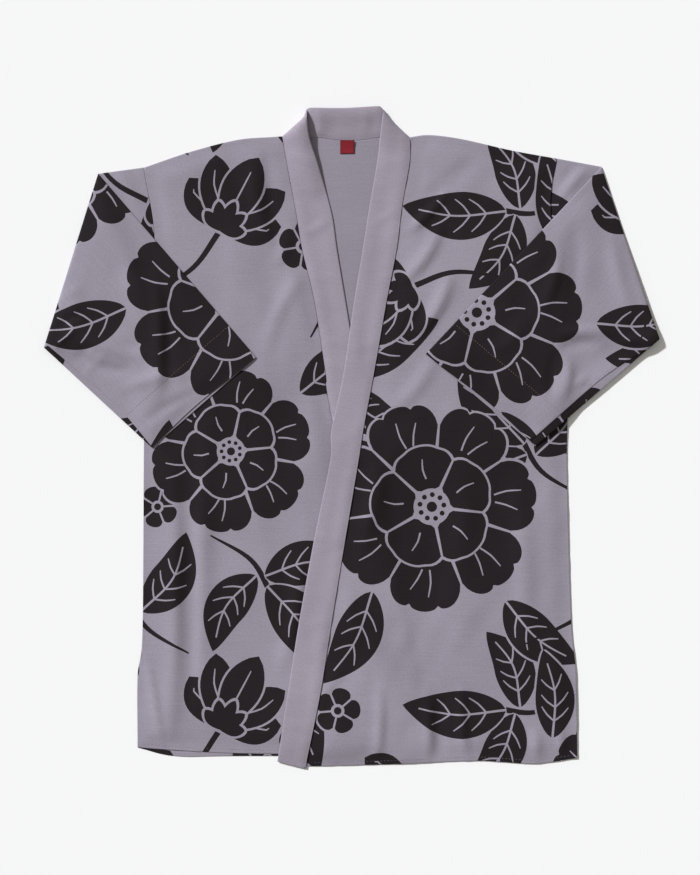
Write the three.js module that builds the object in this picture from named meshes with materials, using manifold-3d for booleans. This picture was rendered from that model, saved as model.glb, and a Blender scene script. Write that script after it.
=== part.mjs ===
// A haori, the open jacket worn over a kimono, laid flat on its back with both
// sleeves folded in over the fronts. Millimetres: X runs towards the wearer's left,
// Y towards the collar, and Z up from the surface that the back rests on.
//
// Every layer of cloth is a wall between two height fields on one shared grid, cut to
// the outline of its piece. A layer's underside is worked out from the tops of the
// layers that it lies on, so layers follow each other and never cross.

import * as THREE from 'three';
import { mergeVertices } from 'three/addons/utils/BufferGeometryUtils.js';
import Module from 'manifold-3d';

const wasm = await Module();
wasm.setup();

// ---- Driving dimensions ----------------------------------------------------------

const WALL = 1.0; // one layer of cloth
const BAND = 2.0; // the collar, folded double
const GAP = 0.3; // between layers, and between pieces at a seam
const CELL = 25; // spacing of the grid that carries the folds
const GRID = { left: -463.7, right: 463.7, low: -491.3, high: 491.3 };

const FOLD_OUT = 0.6; // how far a folded edge bulges past its line
const FOLD_IN = 1.6; // how far its solid bend reaches inwards
const END_TRIM = 0.8; // a bend stops this far short of its line's ends
const EDGE_SETTLE = 45; // a lofted layer comes down to rest over this distance

// Side edges of the body from the shoulder to the hem, on the wearer's two sides.
// The first three rows are also the armhole seams.
const BODY_SIDES = [
  { place: 'shoulder', rightX: -300, rightY: 390, leftX: 296, leftY: 403 },
  { place: 'blade', rightX: -284, rightY: 281, leftX: 288, leftY: 322 },
  { place: 'underarm', rightX: -298, rightY: 150, leftX: 313, leftY: 144 },
  { place: 'waist', rightX: -300, rightY: -33, leftX: 311, leftY: -41 },
  { place: 'hip', rightX: -302, rightY: -282, leftX: 317, leftY: -260 },
  { place: 'flare', rightX: -309, rightY: -345, leftX: 324, leftY: -340 },
];
const ARMHOLE_ROWS = 3;

// The shoulder folds, from the neck outwards.
const SHOULDERS = [
  { rightX: -118, rightY: 434, leftX: 113, leftY: 437 },
  { rightX: -165, rightY: 430, leftX: 160, leftY: 431 },
  { rightX: -232, rightY: 413, leftX: 230, leftY: 415 },
];

// Lower edges, from the wearer's right to the left.
const BACK_HEM = [
  { x: -309, y: -448 },
  { x: -251, y: -460.5 },
  { x: -138, y: -460 },
  { x: 326, y: -461 },
];
const RIGHT_HEM = [
  { x: -309, y: -447.5 },
  { x: -263, y: -451 },
  { x: -167, y: -456 },
  { x: 20, y: -458 },
];
const LEFT_HEM = [
  { x: -64.5, y: -475 },
  { x: 58, y: -472 },
  { x: 125, y: -469 },
  { x: 188, y: -467 },
  { x: 264, y: -471 },
  { x: 326, y: -463 },
];

// The collar's free edge and sewn edge, from the shoulder to the hem.
const COLLAR_RIGHT = [
  { y: 435, free: -61, sewn: -100 },
  { y: 394, free: -48, sewn: -93 },
  { y: 325, free: -29, sewn: -80 },
  { y: 271, free: -21, sewn: -71 },
  { y: 199, free: -9, sewn: -54 },
  { y: 91, free: 9, sewn: -37 },
  { y: 20, free: 22, sewn: -27 },
  { y: -460, free: 109, sewn: 66 },
];
const COLLAR_LEFT = [
  { y: 434, free: 41, sewn: 84 },
  { y: 399, free: 37, sewn: 84 },
  { y: 335, free: 26, sewn: 73 },
  { y: 271, free: 16, sewn: 65 },
  { y: 199, free: 4, sewn: 51 },
  { y: 91, free: -12, sewn: 32 },
  { y: 11, free: -29, sewn: 17 },
  { y: -34, free: -31, sewn: 10 },
  { y: -147, free: -54, sewn: -9 },
  { y: -262, free: -75, sewn: -28 },
  { y: -369, free: -92, sewn: -45 },
  { y: -468, free: -107, sewn: -65 },
];
const COLLAR_TOE = { x: -66, y: -478 }; // the left collar's lowest corner
// Where the collar folds over beside the neck, from the shoulder to its top edge.
const NECK_FOLDS = [
  { rightX: -84, rightY: 449, leftX: 72, leftY: 445 },
  { rightX: -70, rightY: 462, leftX: 58, leftY: 459 },
  { rightX: -65, rightY: 474, leftX: 46, leftY: 474 },
];
const NECK = { seamY: 430, seamEndY: 434, seamRight: -50, seamLeft: 42, topY: 476, topLeftY: 478 };
const LABEL = { x: -6, topY: 429.5, width: 21, height: 20 };

// Each sleeve is a tube folded in along the line from its tip, on the shoulder fold,
// to its heel, on the underarm edge. The folded length lies along the sleeve's upper
// fold. Turns are in degrees from +X.
const SLEEVE_RIGHT = {
  tip: { x: -366, y: 381 },
  heel: { x: -444, y: 130 },
  foldedLength: 350,
  lengthTurn: -49.3,
  cuff: 199,
  cuffTurn: 221.1,
};
const SLEEVE_LEFT = {
  tip: { x: 361, y: 391 },
  heel: { x: 444.5, y: 142 },
  foldedLength: 371,
  lengthTurn: -133.2,
  cuff: 206.5,
  cuffTurn: -40.1,
};

// Folds: soft ridges (rise above 0) and troughs (below 0) along a line.
const FOLDS = {
  front_right: [
    { fromX: -258, fromY: -120, toX: -268, toY: -420, half: 26, rise: 3.5 },
    { fromX: -205, fromY: 20, toX: -214, toY: -330, half: 30, rise: 2.5 },
    { fromX: -120, fromY: 384, toX: -112, toY: 300, half: 30, rise: -2.0 },
    { fromX: -60, fromY: -180, toX: -90, toY: -330, half: 28, rise: 3.0 },
  ],
  front_left: [
    { fromX: 150, fromY: 362, toX: 66, toY: 288, half: 26, rise: 4.0 },
    { fromX: 150, fromY: 300, toX: 80, toY: 214, half: 26, rise: 4.5 },
    { fromX: 148, fromY: 226, toX: 92, toY: 140, half: 27, rise: 4.0 },
    { fromX: 112, fromY: -330, toX: 106, toY: -465, half: 26, rise: 4.0 },
    { fromX: 166, fromY: -345, toX: 170, toY: -465, half: 26, rise: 4.0 },
    { fromX: -10, fromY: -340, toX: 20, toY: -465, half: 27, rise: 3.5 },
    { fromX: 270, fromY: -390, toX: 268, toY: -470, half: 26, rise: 3.0 },
    { fromX: 238, fromY: -60, toX: 250, toY: -330, half: 32, rise: 2.5 },
  ],
  sleeve_right: [
    { fromX: -391, fromY: 119, toX: -326, toY: 96, half: 26, rise: -2.5 },
    { fromX: -283, fromY: 150, toX: -286, toY: 60, half: 28, rise: 3.0 },
    { fromX: -350, fromY: 240, toX: -250, toY: 130, half: 32, rise: 2.5 },
  ],
  sleeve_left: [
    { fromX: 298, fromY: 275, toX: 280, toY: 195, half: 28, rise: 3.5 },
    { fromX: 305, fromY: 131, toX: 352, toY: 134, half: 26, rise: -2.5 },
    { fromX: 313, fromY: 108, toX: 304, toY: 52, half: 26, rise: 3.0 },
    { fromX: 360, fromY: 290, toX: 250, toY: 190, half: 32, rise: 2.5 },
  ],
};
// How far each lofted layer stands off the one below it, away from its edges.
const LOFT = { front: 1.6, sleeve: 2.4 };

const CLOTH_GREY = { color: 0x97919d, roughness: 0.88, metalness: 0 };
const COLLAR_GREY = { color: 0x9a939e, roughness: 0.86, metalness: 0 };
const LABEL_RED = { color: 0x86222c, roughness: 0.8, metalness: 0 };

// ---- Plane geometry --------------------------------------------------------------

const point = (x, y) => new THREE.Vector2(x, y);
const rightPoint = (row) => point(row.rightX, row.rightY);
const leftPoint = (row) => point(row.leftX, row.leftY);
const shifted = (points, dx, dy) => points.map((p) => point(p.x + dx, p.y + dy));

function polar(start, length, degrees) {
  const turn = THREE.MathUtils.degToRad(degrees);
  return point(start.x + length * Math.cos(turn), start.y + length * Math.sin(turn));
}

function distanceToLine(p, a, b) {
  const along = b.clone().sub(a);
  const t = THREE.MathUtils.clamp(p.clone().sub(a).dot(along) / along.lengthSq(), 0, 1);
  return { away: p.distanceTo(a.clone().addScaledVector(along, t)), t };
}

function inside(p, outline) {
  let within = false;
  outline.forEach((a, i) => {
    const b = outline[(i + 1) % outline.length];
    const crosses = a.y > p.y !== b.y > p.y;
    if (crosses && p.x < a.x + ((b.x - a.x) * (p.y - a.y)) / (b.y - a.y)) {
      within = !within;
    }
  });
  return within;
}

// Distance from the outline: positive inside it, negative outside.
function depthIn(p, outline) {
  const away = Math.min(
    ...outline.map((a, i) => distanceToLine(p, a, outline[(i + 1) % outline.length]).away),
  );
  return inside(p, outline) ? away : -away;
}

// ---- The shared grid -------------------------------------------------------------

const COLUMNS = Math.ceil((GRID.right - GRID.left) / CELL);
const ROWS = Math.ceil((GRID.high - GRID.low) / CELL);
const gridX = (i) => GRID.left + ((GRID.right - GRID.left) * i) / COLUMNS;
const gridY = (j) => GRID.low + ((GRID.high - GRID.low) * j) / ROWS;
const REACH = 1.45 * CELL; // no grid triangle is longer than this

// A height for every grid point, from a function of the point and its indices.
function field(height) {
  const values = [];
  for (let j = 0; j <= ROWS; j += 1) {
    for (let i = 0; i <= COLUMNS; i += 1) {
      values.push(height(point(gridX(i), gridY(j)), j * (COLUMNS + 1) + i));
    }
  }
  return values;
}

const level = (z) => field(() => z);
const raised = (heights, rise) => heights.map((z) => z + rise);

// ---- Solids ----------------------------------------------------------------------

function toManifold(geometry) {
  geometry.deleteAttribute('normal');
  geometry.deleteAttribute('uv');
  const merged = mergeVertices(geometry, 1e-5);
  return new wasm.Manifold(
    new wasm.Mesh({
      numProp: 3,
      vertProperties: new Float32Array(merged.attributes.position.array),
      triVerts: new Uint32Array(merged.index.array),
    }),
  );
}

// A vertical prism over an outline.
function prism(outline, low, high) {
  const shape = new THREE.Shape(outline);
  const geometry = new THREE.ExtrudeGeometry(shape, { depth: high - low, bevelEnabled: false });
  geometry.translate(0, 0, low);
  return toManifold(geometry);
}

// The solid between two fields, over the grid cells that an outline touches.
function slab(outline, bottom, top) {
  const box = new THREE.Box2().setFromPoints(outline);
  const first = {
    i: Math.floor(((box.min.x - GRID.left) / (GRID.right - GRID.left)) * COLUMNS),
    j: Math.floor(((box.min.y - GRID.low) / (GRID.high - GRID.low)) * ROWS),
  };
  const last = {
    i: Math.ceil(((box.max.x - GRID.left) / (GRID.right - GRID.left)) * COLUMNS),
    j: Math.ceil(((box.max.y - GRID.low) / (GRID.high - GRID.low)) * ROWS),
  };
  const wide = last.i - first.i + 1;
  const high = last.j - first.j + 1;
  const positions = [];
  [bottom, top].forEach((heights) => {
    for (let j = first.j; j <= last.j; j += 1) {
      for (let i = first.i; i <= last.i; i += 1) {
        positions.push(gridX(i), gridY(j), heights[j * (COLUMNS + 1) + i]);
      }
    }
  });
  const faces = [];
  const quad = (a, b, c, d) => faces.push(a, b, c, a, c, d);
  const over = wide * high;
  for (let j = 0; j < high - 1; j += 1) {
    for (let i = 0; i < wide - 1; i += 1) {
      const a = j * wide + i;
      faces.push(a, a + wide + 1, a + 1, a, a + wide, a + wide + 1);
      faces.push(over + a, over + a + 1, over + a + wide + 1);
      faces.push(over + a, over + a + wide + 1, over + a + wide);
    }
  }
  for (let i = 0; i < wide - 1; i += 1) {
    const far = (high - 1) * wide + i;
    quad(i, i + 1, over + i + 1, over + i);
    quad(far + 1, far, over + far, over + far + 1);
  }
  for (let j = 0; j < high - 1; j += 1) {
    const near = j * wide;
    const far = near + wide - 1;
    quad(near + wide, near, over + near, over + near + wide);
    quad(far, far + wide, over + far + wide, over + far);
  }
  const geometry = new THREE.BufferGeometry();
  geometry.setAttribute('position', new THREE.Float32BufferAttribute(positions, 3));
  geometry.setIndex(faces);
  const low = Math.min(...bottom) - 1;
  const tall = Math.max(...top) + 1;
  return toManifold(geometry).intersect(prism(outline, low, tall));
}

// A strip along an edge, whose outer side is to the right of the way from a to b. It
// stops short of either end by a trim.
function edgeStrip(a, b, trimA = 0, trimB = 0) {
  const along = b.clone().sub(a).normalize();
  const out = point(along.y, -along.x);
  const from = a.clone().addScaledVector(along, trimA);
  const to = b.clone().addScaledVector(along, -trimB);
  return [
    from.clone().addScaledVector(out, FOLD_OUT),
    to.clone().addScaledVector(out, FOLD_OUT),
    to.clone().addScaledVector(out, -FOLD_IN),
    from.clone().addScaledVector(out, -FOLD_IN),
  ];
}

// The bend that joins a lower and an upper layer along an edge.
function bend(a, b, under, over, trim = 0) {
  return slab(edgeStrip(a, b, trim, trim), raised(under.bottom, WALL / 2), raised(over.bottom, WALL / 2));
}

// ---- Layers ----------------------------------------------------------------------

// Height at which a layer rests on the layers below it, at every grid point.
function restingOn(supports) {
  return field((p, index) =>
    Math.max(
      0,
      ...supports
        .filter((support) => depthIn(p, support.outline) > -REACH)
        .map((support) => support.top[index] + GAP),
    ),
  );
}

function foldHeight(p, folds) {
  return folds.reduce((sum, fold) => {
    const { away, t } = distanceToLine(
      p,
      point(fold.fromX, fold.fromY),
      point(fold.toX, fold.toY),
    );
    const across = Math.max(0, 1 - away / fold.half);
    const taper = 0.6 + 0.4 * Math.sin(Math.PI * t);
    return sum + fold.rise * taper * across * across * (3 - 2 * across);
  }, 0);
}

// A layer of cloth over an outline, lofted and folded above what it rests on.
function layer({ outline, on = [], thick = WALL, loft = 0, folds = [] }) {
  const rest = restingOn(on);
  const bottom = field((p, index) => {
    const settle = THREE.MathUtils.smoothstep(depthIn(p, outline), 0, EDGE_SETTLE);
    return rest[index] + Math.max(0, loft * settle + foldHeight(p, folds));
  });
  return { outline, bottom, top: raised(bottom, thick) };
}

const solidOf = (piece) => slab(piece.outline, piece.bottom, piece.top);

function flatLayer(outline, low, thick) {
  return { outline, bottom: level(low), top: level(low + thick) };
}

const flatSolid = (piece) => prism(piece.outline, piece.bottom[0], piece.top[0]);

// ---- Body and collar -------------------------------------------------------------

const side = {
  right: BODY_SIDES.map(rightPoint),
  left: BODY_SIDES.map(leftPoint),
};
const shoulder = {
  right: SHOULDERS.map(rightPoint),
  left: SHOULDERS.map(leftPoint),
};
const neckFold = {
  right: NECK_FOLDS.map(rightPoint),
  left: NECK_FOLDS.map(leftPoint),
};
const sewnEdge = (rows) => rows.map((row) => point(row.sewn, row.y));
const freeEdge = (rows) => rows.map((row) => point(row.free, row.y));
const hemPoints = (rows) => rows.map((row) => point(row.x, row.y));

const neckSeam = [
  point(COLLAR_RIGHT[0].sewn, COLLAR_RIGHT[0].y),
  point(NECK.seamRight, NECK.seamEndY),
  point((2 * NECK.seamRight + NECK.seamLeft) / 3, NECK.seamY),
  point((NECK.seamRight + 2 * NECK.seamLeft) / 3, NECK.seamY),
  point(NECK.seamLeft, NECK.seamEndY),
  point(COLLAR_LEFT[0].sewn, COLLAR_LEFT[0].y),
];

// Outlines run counter-clockwise. The back stops short of the folds that pass over
// the shoulders, which belong to the fronts.
const belowFold = (points) => shifted(points, 0, -FOLD_IN - GAP);
const backOutline = [
  ...hemPoints(BACK_HEM),
  ...side.left.slice(1).reverse(),
  ...belowFold([side.left[0], ...[...shoulder.left].reverse(), neckSeam.at(-1)]),
  ...shifted(neckSeam.slice(1, -1).reverse(), 0, -GAP),
  ...belowFold([neckSeam[0], ...shoulder.right, side.right[0]]),
  ...side.right.slice(1),
];
const frontRightOutline = [
  ...side.right,
  ...hemPoints(RIGHT_HEM),
  ...shifted(sewnEdge(COLLAR_RIGHT), -GAP, 0).reverse(),
  ...shoulder.right,
];
const frontLeftOutline = [
  ...hemPoints(LEFT_HEM),
  ...[...side.left].reverse(),
  ...[...shoulder.left].reverse(),
  ...shifted(sewnEdge(COLLAR_LEFT), GAP, 0),
];
const collarRightOutline = [
  ...sewnEdge(COLLAR_RIGHT),
  ...freeEdge(COLLAR_RIGHT).reverse(),
  ...[...neckFold.right].reverse(),
];
const collarLeftOutline = [
  ...freeEdge(COLLAR_LEFT),
  point(COLLAR_TOE.x, COLLAR_TOE.y),
  ...sewnEdge(COLLAR_LEFT).reverse(),
  ...neckFold.left,
];
const bandInset = (FOLD_IN + GAP) * Math.SQRT2;
const collarNeckOutline = [
  ...neckSeam.slice(1, -1),
  ...shifted([neckSeam.at(-1), ...neckFold.left], -bandInset, 0),
  point(neckFold.left.at(-1).x - 2 * bandInset, NECK.topLeftY),
  point(neckFold.right.at(-1).x + 2 * bandInset, NECK.topY),
  ...shifted([neckSeam[0], ...neckFold.right], bandInset, 0).reverse(),
];
const labelOutline = [
  point(LABEL.x - LABEL.width / 2, LABEL.topY - LABEL.height),
  point(LABEL.x + LABEL.width / 2, LABEL.topY - LABEL.height),
  point(LABEL.x + LABEL.width / 2, LABEL.topY),
  point(LABEL.x - LABEL.width / 2, LABEL.topY),
];

const back = flatLayer(backOutline, 0, WALL);
const collarNeck = flatLayer(collarNeckOutline, 0, BAND);
const label = flatLayer(labelOutline, WALL + GAP, WALL);
const frontRight = layer({
  outline: frontRightOutline,
  on: [back],
  loft: LOFT.front,
  folds: FOLDS.front_right,
});
const collarRight = layer({
  outline: collarRightOutline,
  on: [back, collarNeck],
  thick: BAND,
});
const frontLeft = layer({
  outline: frontLeftOutline,
  on: [back, frontRight, collarRight],
  loft: LOFT.front,
  folds: FOLDS.front_left,
});
const collarLeft = layer({
  outline: collarLeftOutline,
  on: [back, collarNeck, frontRight, collarRight],
  thick: BAND,
});

// The cloth turns down over an edge, from a layer to the surface, along a line.
function turnDown(piece, line, thick) {
  return line.slice(1).map((to, i) => {
    const trimFirst = i === 0 ? END_TRIM : 0;
    const trimLast = i === line.length - 2 ? END_TRIM : 0;
    const strip = edgeStrip(line[i], to, trimFirst, trimLast);
    return slab(strip, level(0), raised(piece.bottom, thick / 2));
  });
}

const union = (solids) => solids.reduce((whole, solid) => whole.add(solid));

const rightShoulderLine = [frontRightOutline.at(-shoulder.right.length - 1), ...shoulder.right, side.right[0]];
const leftShoulderLine = [side.left[0], ...[...shoulder.left].reverse(), point(COLLAR_LEFT[0].sewn + GAP, COLLAR_LEFT[0].y)];
const rightNeckLine = [...[...neckFold.right].reverse(), neckSeam[0]];
const leftNeckLine = [neckSeam.at(-1), ...neckFold.left];

// ---- Sleeves ---------------------------------------------------------------------

// A sleeve lies in four layers where it meets the body: the back and front halves of
// the tube as they leave the armhole, and the same two halves folded back over them.
function sleeve({ tip, heel, foldedLength, lengthTurn, cuff, cuffTurn }, armhole, front, folds) {
  const top = point(tip.x, tip.y);
  const low = point(heel.x, heel.y);
  const cuffTop = polar(top, foldedLength, lengthTurn);
  const cuffLow = polar(cuffTop, cuff, cuffTurn);
  const mirrored = top.x > 0;
  const outward = mirrored ? GAP : -GAP;
  const seam = shifted(armhole, outward, 0);
  const baseOutline = [top, low, ...[...seam].reverse()];
  const foldedOutline = [top, low, cuffLow, cuffTop];

  const baseBack = flatLayer(baseOutline, 0, WALL);
  const baseFront = flatLayer(baseOutline, WALL + GAP, WALL);
  const lower = layer({ outline: foldedOutline, on: [baseFront, front] });
  const upper = layer({ outline: foldedOutline, on: [lower], loft: LOFT.sleeve, folds });

  const join = (a, b, under, over, trim) =>
    mirrored ? bend(b, a, under, over, trim) : bend(a, b, under, over, trim);
  return union([
    flatSolid(baseBack),
    flatSolid(baseFront),
    solidOf(lower),
    solidOf(upper),
    join(seam[0], top, baseBack, baseFront, END_TRIM),
    join(low, seam.at(-1), baseBack, baseFront, END_TRIM),
    join(top, low, baseBack, upper),
    join(low, cuffLow, lower, upper),
    join(cuffTop, top, lower, upper),
  ]);
}

// ---- The coat --------------------------------------------------------------------

function pieceMesh(name, solid, finish) {
  const { vertProperties, triVerts } = solid.getMesh();
  const geometry = new THREE.BufferGeometry();
  geometry.setAttribute('position', new THREE.Float32BufferAttribute(vertProperties, 3));
  geometry.setIndex([...triVerts]);
  geometry.computeVertexNormals();
  const mesh = new THREE.Mesh(geometry, new THREE.MeshStandardMaterial(finish));
  mesh.name = name;
  return mesh;
}

const armholeRight = side.right.slice(0, ARMHOLE_ROWS);
const armholeLeft = side.left.slice(0, ARMHOLE_ROWS);

const haori = new THREE.Group();
haori.add(
  pieceMesh('back', flatSolid(back), CLOTH_GREY),
  pieceMesh(
    'front_right',
    union([solidOf(frontRight), ...turnDown(frontRight, rightShoulderLine, WALL)]),
    CLOTH_GREY,
  ),
  pieceMesh(
    'front_left',
    union([solidOf(frontLeft), ...turnDown(frontLeft, leftShoulderLine, WALL)]),
    CLOTH_GREY,
  ),
  pieceMesh('sleeve_right', sleeve(SLEEVE_RIGHT, armholeRight, frontRight, FOLDS.sleeve_right), CLOTH_GREY),
  pieceMesh('sleeve_left', sleeve(SLEEVE_LEFT, armholeLeft, frontLeft, FOLDS.sleeve_left), CLOTH_GREY),
  pieceMesh(
    'collar_right',
    union([solidOf(collarRight), ...turnDown(collarRight, rightNeckLine, BAND)]),
    COLLAR_GREY,
  ),
  pieceMesh(
    'collar_left',
    union([solidOf(collarLeft), ...turnDown(collarLeft, leftNeckLine, BAND)]),
    COLLAR_GREY,
  ),
  pieceMesh('collar_neck', flatSolid(collarNeck), COLLAR_GREY),
  pieceMesh('neck_label', flatSolid(label), LABEL_RED),
);

export default haori;
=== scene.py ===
"""A haori laid flat on its back, with both sleeves folded in over the fronts.

Sizes are in millimetres until a mesh is made, and meshes are in metres. X runs towards
the wearer's left, Y towards the collar, and Z up from the surface that the coat lies on.
"""

import logging
import math
from collections.abc import Sequence
from dataclasses import dataclass, field
from enum import Enum

import bmesh
import bpy
import numpy as np
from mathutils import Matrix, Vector
from mathutils.geometry import delaunay_2d_cdt

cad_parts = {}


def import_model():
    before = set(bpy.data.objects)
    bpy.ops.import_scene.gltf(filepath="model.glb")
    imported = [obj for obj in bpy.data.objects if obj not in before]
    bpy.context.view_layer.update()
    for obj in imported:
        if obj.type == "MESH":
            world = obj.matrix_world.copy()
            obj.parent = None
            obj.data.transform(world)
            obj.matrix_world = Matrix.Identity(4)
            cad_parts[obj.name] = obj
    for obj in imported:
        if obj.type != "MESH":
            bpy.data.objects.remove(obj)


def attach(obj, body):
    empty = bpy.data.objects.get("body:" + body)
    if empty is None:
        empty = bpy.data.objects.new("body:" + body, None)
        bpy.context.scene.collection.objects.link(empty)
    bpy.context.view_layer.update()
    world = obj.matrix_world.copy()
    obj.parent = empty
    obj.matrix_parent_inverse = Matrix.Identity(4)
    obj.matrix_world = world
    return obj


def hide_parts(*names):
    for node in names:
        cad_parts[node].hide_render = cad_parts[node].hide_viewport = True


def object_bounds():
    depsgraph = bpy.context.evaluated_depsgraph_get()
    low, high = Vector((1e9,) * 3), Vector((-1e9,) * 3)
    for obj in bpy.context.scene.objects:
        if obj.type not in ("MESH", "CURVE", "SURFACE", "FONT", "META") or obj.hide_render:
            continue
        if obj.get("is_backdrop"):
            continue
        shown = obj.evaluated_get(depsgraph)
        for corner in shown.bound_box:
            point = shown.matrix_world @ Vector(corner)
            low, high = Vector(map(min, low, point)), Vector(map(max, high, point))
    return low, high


LOG = logging.getLogger("haori")

MM = 0.001
BODY_NAME = "root"
STITCH_SLOT = "sewing_thread"

WALL = 0.7  # one thickness of cloth
AIR = 0.1  # between one layer and the next
EDGE_LOW = 0.15  # how high an edge ends that turns down
SEED = 41

Point = tuple[float, float]


class Edge(Enum):
    """How an edge of a cut is finished."""

    HEM = "turned under and stitched"
    SEAM = "sewn to its neighbour"
    FOLD = "runs on into the layer below it"
    TURN = "turns down over the edge to the surface"
    OPEN = "the free end of a tube"
    WRAP = "folded over, onto the part beyond"


# ---- Paths in the plane --------------------------------------------------------------


def smooth_path(points: Sequence[Point], step: float) -> np.ndarray:
    """Runs a Catmull-Rom curve through a few points.

    Args:
        points: the points, in order.
        step: spacing of the samples.

    Returns:
        The samples, from the first point to the last.
    """
    given = np.asarray(points, float)
    if len(given) == 2:
        count = max(1, round(float(np.hypot(*(given[1] - given[0]))) / step))
        return np.linspace(given[0], given[1], count + 1)
    ends = np.vstack([2 * given[0] - given[1], given, 2 * given[-1] - given[-2]])
    samples = []
    for p0, p1, p2, p3 in zip(ends, ends[1:], ends[2:], ends[3:]):
        count = max(1, round(float(np.hypot(*(p2 - p1))) / step))
        t = (np.arange(count) / count)[:, None]
        samples.append(
            0.5
            * (
                2 * p1
                + (p2 - p0) * t
                + (2 * p0 - 5 * p1 + 4 * p2 - p3) * t**2
                + (3 * p1 - p0 - 3 * p2 + p3) * t**3
            )
        )
    return np.vstack([*samples, given[-1:]])


def spaced(loop: np.ndarray, step: float) -> np.ndarray:
    """Returns a closed loop with points added, so that none are further apart than a step."""
    parts = []
    for start, stop in zip(loop, np.roll(loop, -1, axis=0)):
        count = max(1, math.ceil(float(np.hypot(*(stop - start))) / step))
        parts.append(start + (stop - start) * (np.arange(count) / count)[:, None])
    return np.vstack(parts)


def side_normals(path: np.ndarray) -> np.ndarray:
    """Returns the unit normals on the left of a path, one for each point."""
    along = np.gradient(path, axis=0)
    along /= np.linalg.norm(along, axis=1, keepdims=True)
    return np.column_stack([-along[:, 1], along[:, 0]])


def strip(path: np.ndarray, left: np.ndarray | float, right: np.ndarray | float) -> np.ndarray:
    """Returns the loop round a strip along a path, with a width on each side."""
    normals = side_normals(path)
    left_edge = path + normals * np.broadcast_to(left, len(path))[:, None]
    right_edge = path - normals * np.broadcast_to(right, len(path))[:, None]
    return np.vstack([right_edge, left_edge[::-1]])


def nearest(points: np.ndarray, path: np.ndarray, closed: bool) -> tuple[np.ndarray, ...]:
    """Finds the nearest place on a path for each point.

    Args:
        points: points of the plane.
        path: the path's points.
        closed: whether the last point runs on to the first.

    Returns:
        Distances, segment numbers, places along the segments, and feet.
    """
    start = path if closed else path[:-1]
    stop = np.roll(path, -1, axis=0) if closed else path[1:]
    along = stop - start
    length2 = np.maximum((along**2).sum(1), 1e-12)
    found = []
    for first in range(0, len(points), 4096):
        p = points[first : first + 4096]
        rel = p[:, None] - start[None]
        t = np.clip((rel * along).sum(2) / length2, 0, 1)
        away2 = ((rel - t[:, :, None] * along) ** 2).sum(2)
        k = away2.argmin(1)
        row = np.arange(len(p))
        at = t[row, k]
        found.append((np.sqrt(away2[row, k]), k, at, start[k] + at[:, None] * along[k]))
    return tuple(np.concatenate(parts) for parts in zip(*found))


def contains(points: np.ndarray, loop: np.ndarray) -> np.ndarray:
    """Tells which points lie inside a closed loop."""
    x, y = points[:, :1], points[:, 1:]
    x0, y0 = loop.T
    x1, y1 = np.roll(loop, -1, axis=0).T
    crosses = (y0 > y) != (y1 > y)
    rise = np.where(y1 == y0, 1e-12, y1 - y0)
    return (crosses & (x < x0 + (x1 - x0) * (y - y0) / rise)).sum(1) % 2 == 1


def smoothstep(x: np.ndarray, low: float, high: float) -> np.ndarray:
    """Returns 0 below low and 1 above high, with a smooth rise between."""
    t = np.clip((x - low) / (high - low), 0, 1)
    return t * t * (3 - 2 * t)


def towards(start: Point, end: Point, part: float) -> Point:
    """Returns the point at a share of the way from one point to another."""
    return start[0] + part * (end[0] - start[0]), start[1] + part * (end[1] - start[1])


def polar(start: Point, length: float, degrees: float) -> Point:
    """Returns the point at a length and turn from another."""
    turn = math.radians(degrees)
    return start[0] + length * math.cos(turn), start[1] + length * math.sin(turn)


@dataclass
class Run:
    """One edge of a cut, from corner to corner."""

    kind: Edge
    points: Sequence[Point]

    def sampled(self, step: float) -> np.ndarray:
        """Returns the run's samples without the last, which starts the next run."""
        return smooth_path(self.points, step)[:-1]


class Outline:
    """The closed edge of a cut, counter-clockwise, as runs between its corners."""

    FINE = 3.6
    COARSE = 24.0

    def __init__(self, runs: Sequence[Run]) -> None:
        """Samples the runs, finely for a mesh and coarsely for heights."""
        self.runs = list(runs)
        parts = [run.sampled(self.FINE) for run in self.runs]
        self.loop = np.vstack(parts)
        self.kinds = [run.kind for run, part in zip(self.runs, parts) for _ in part]
        self.coarse = np.vstack([run.sampled(self.COARSE) for run in self.runs])

    def area(self) -> float:
        """Returns the area inside, in square metres."""
        x, y = self.loop.T
        return abs(float(x @ np.roll(y, -1) - y @ np.roll(x, -1))) / 2 * MM * MM

    def size(self) -> tuple[float, float]:
        """Returns the width and length of the outline's box, in metres."""
        width, length = np.ptp(self.loop, axis=0) * MM
        return float(width), float(length)


# ---- How cloth lies ------------------------------------------------------------------


@dataclass(frozen=True)
class Crease:
    """A soft ridge along a bowed line, or a trough where its rise is negative."""

    start: Point
    end: Point
    rise: float
    half: float
    bow: float = 0.0
    steep: float = 1.0

    def height(self, points: np.ndarray) -> np.ndarray:
        """Returns the height that the crease adds at each point."""
        first, last = np.array(self.start, float), np.array(self.end, float)
        along = last - first
        middle = (first + last) / 2 + self.bow * np.array([-along[1], along[0]]) / np.hypot(*along)
        t = np.linspace(0, 1, 9)[:, None]
        control = 2 * middle - (first + last) / 2
        path = (1 - t) ** 2 * first + 2 * t * (1 - t) * control + t**2 * last
        away, segment, part, foot = nearest(points, path, closed=False)
        step = path[segment + 1] - path[segment]
        rel = points - foot
        cross = step[:, 0] * rel[:, 1] - step[:, 1] * rel[:, 0]
        side = cross / (np.linalg.norm(step, axis=1) * np.maximum(away, 1e-9))
        half = self.half * self.steep**-side
        place = (segment + part) / (len(path) - 1)
        taper = 0.3 + 0.7 * np.sin(math.pi * place) ** 0.8
        return self.rise * taper * np.exp(-2.2 * (away / half) ** 2)


def crease_table(*rows: tuple[float, ...]) -> tuple[Crease, ...]:
    """Makes creases from rows of x, y, end x, end y, rise, half width, bow and steepness."""
    return tuple(Crease(row[:2], row[2:4], *row[4:]) for row in rows)


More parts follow.
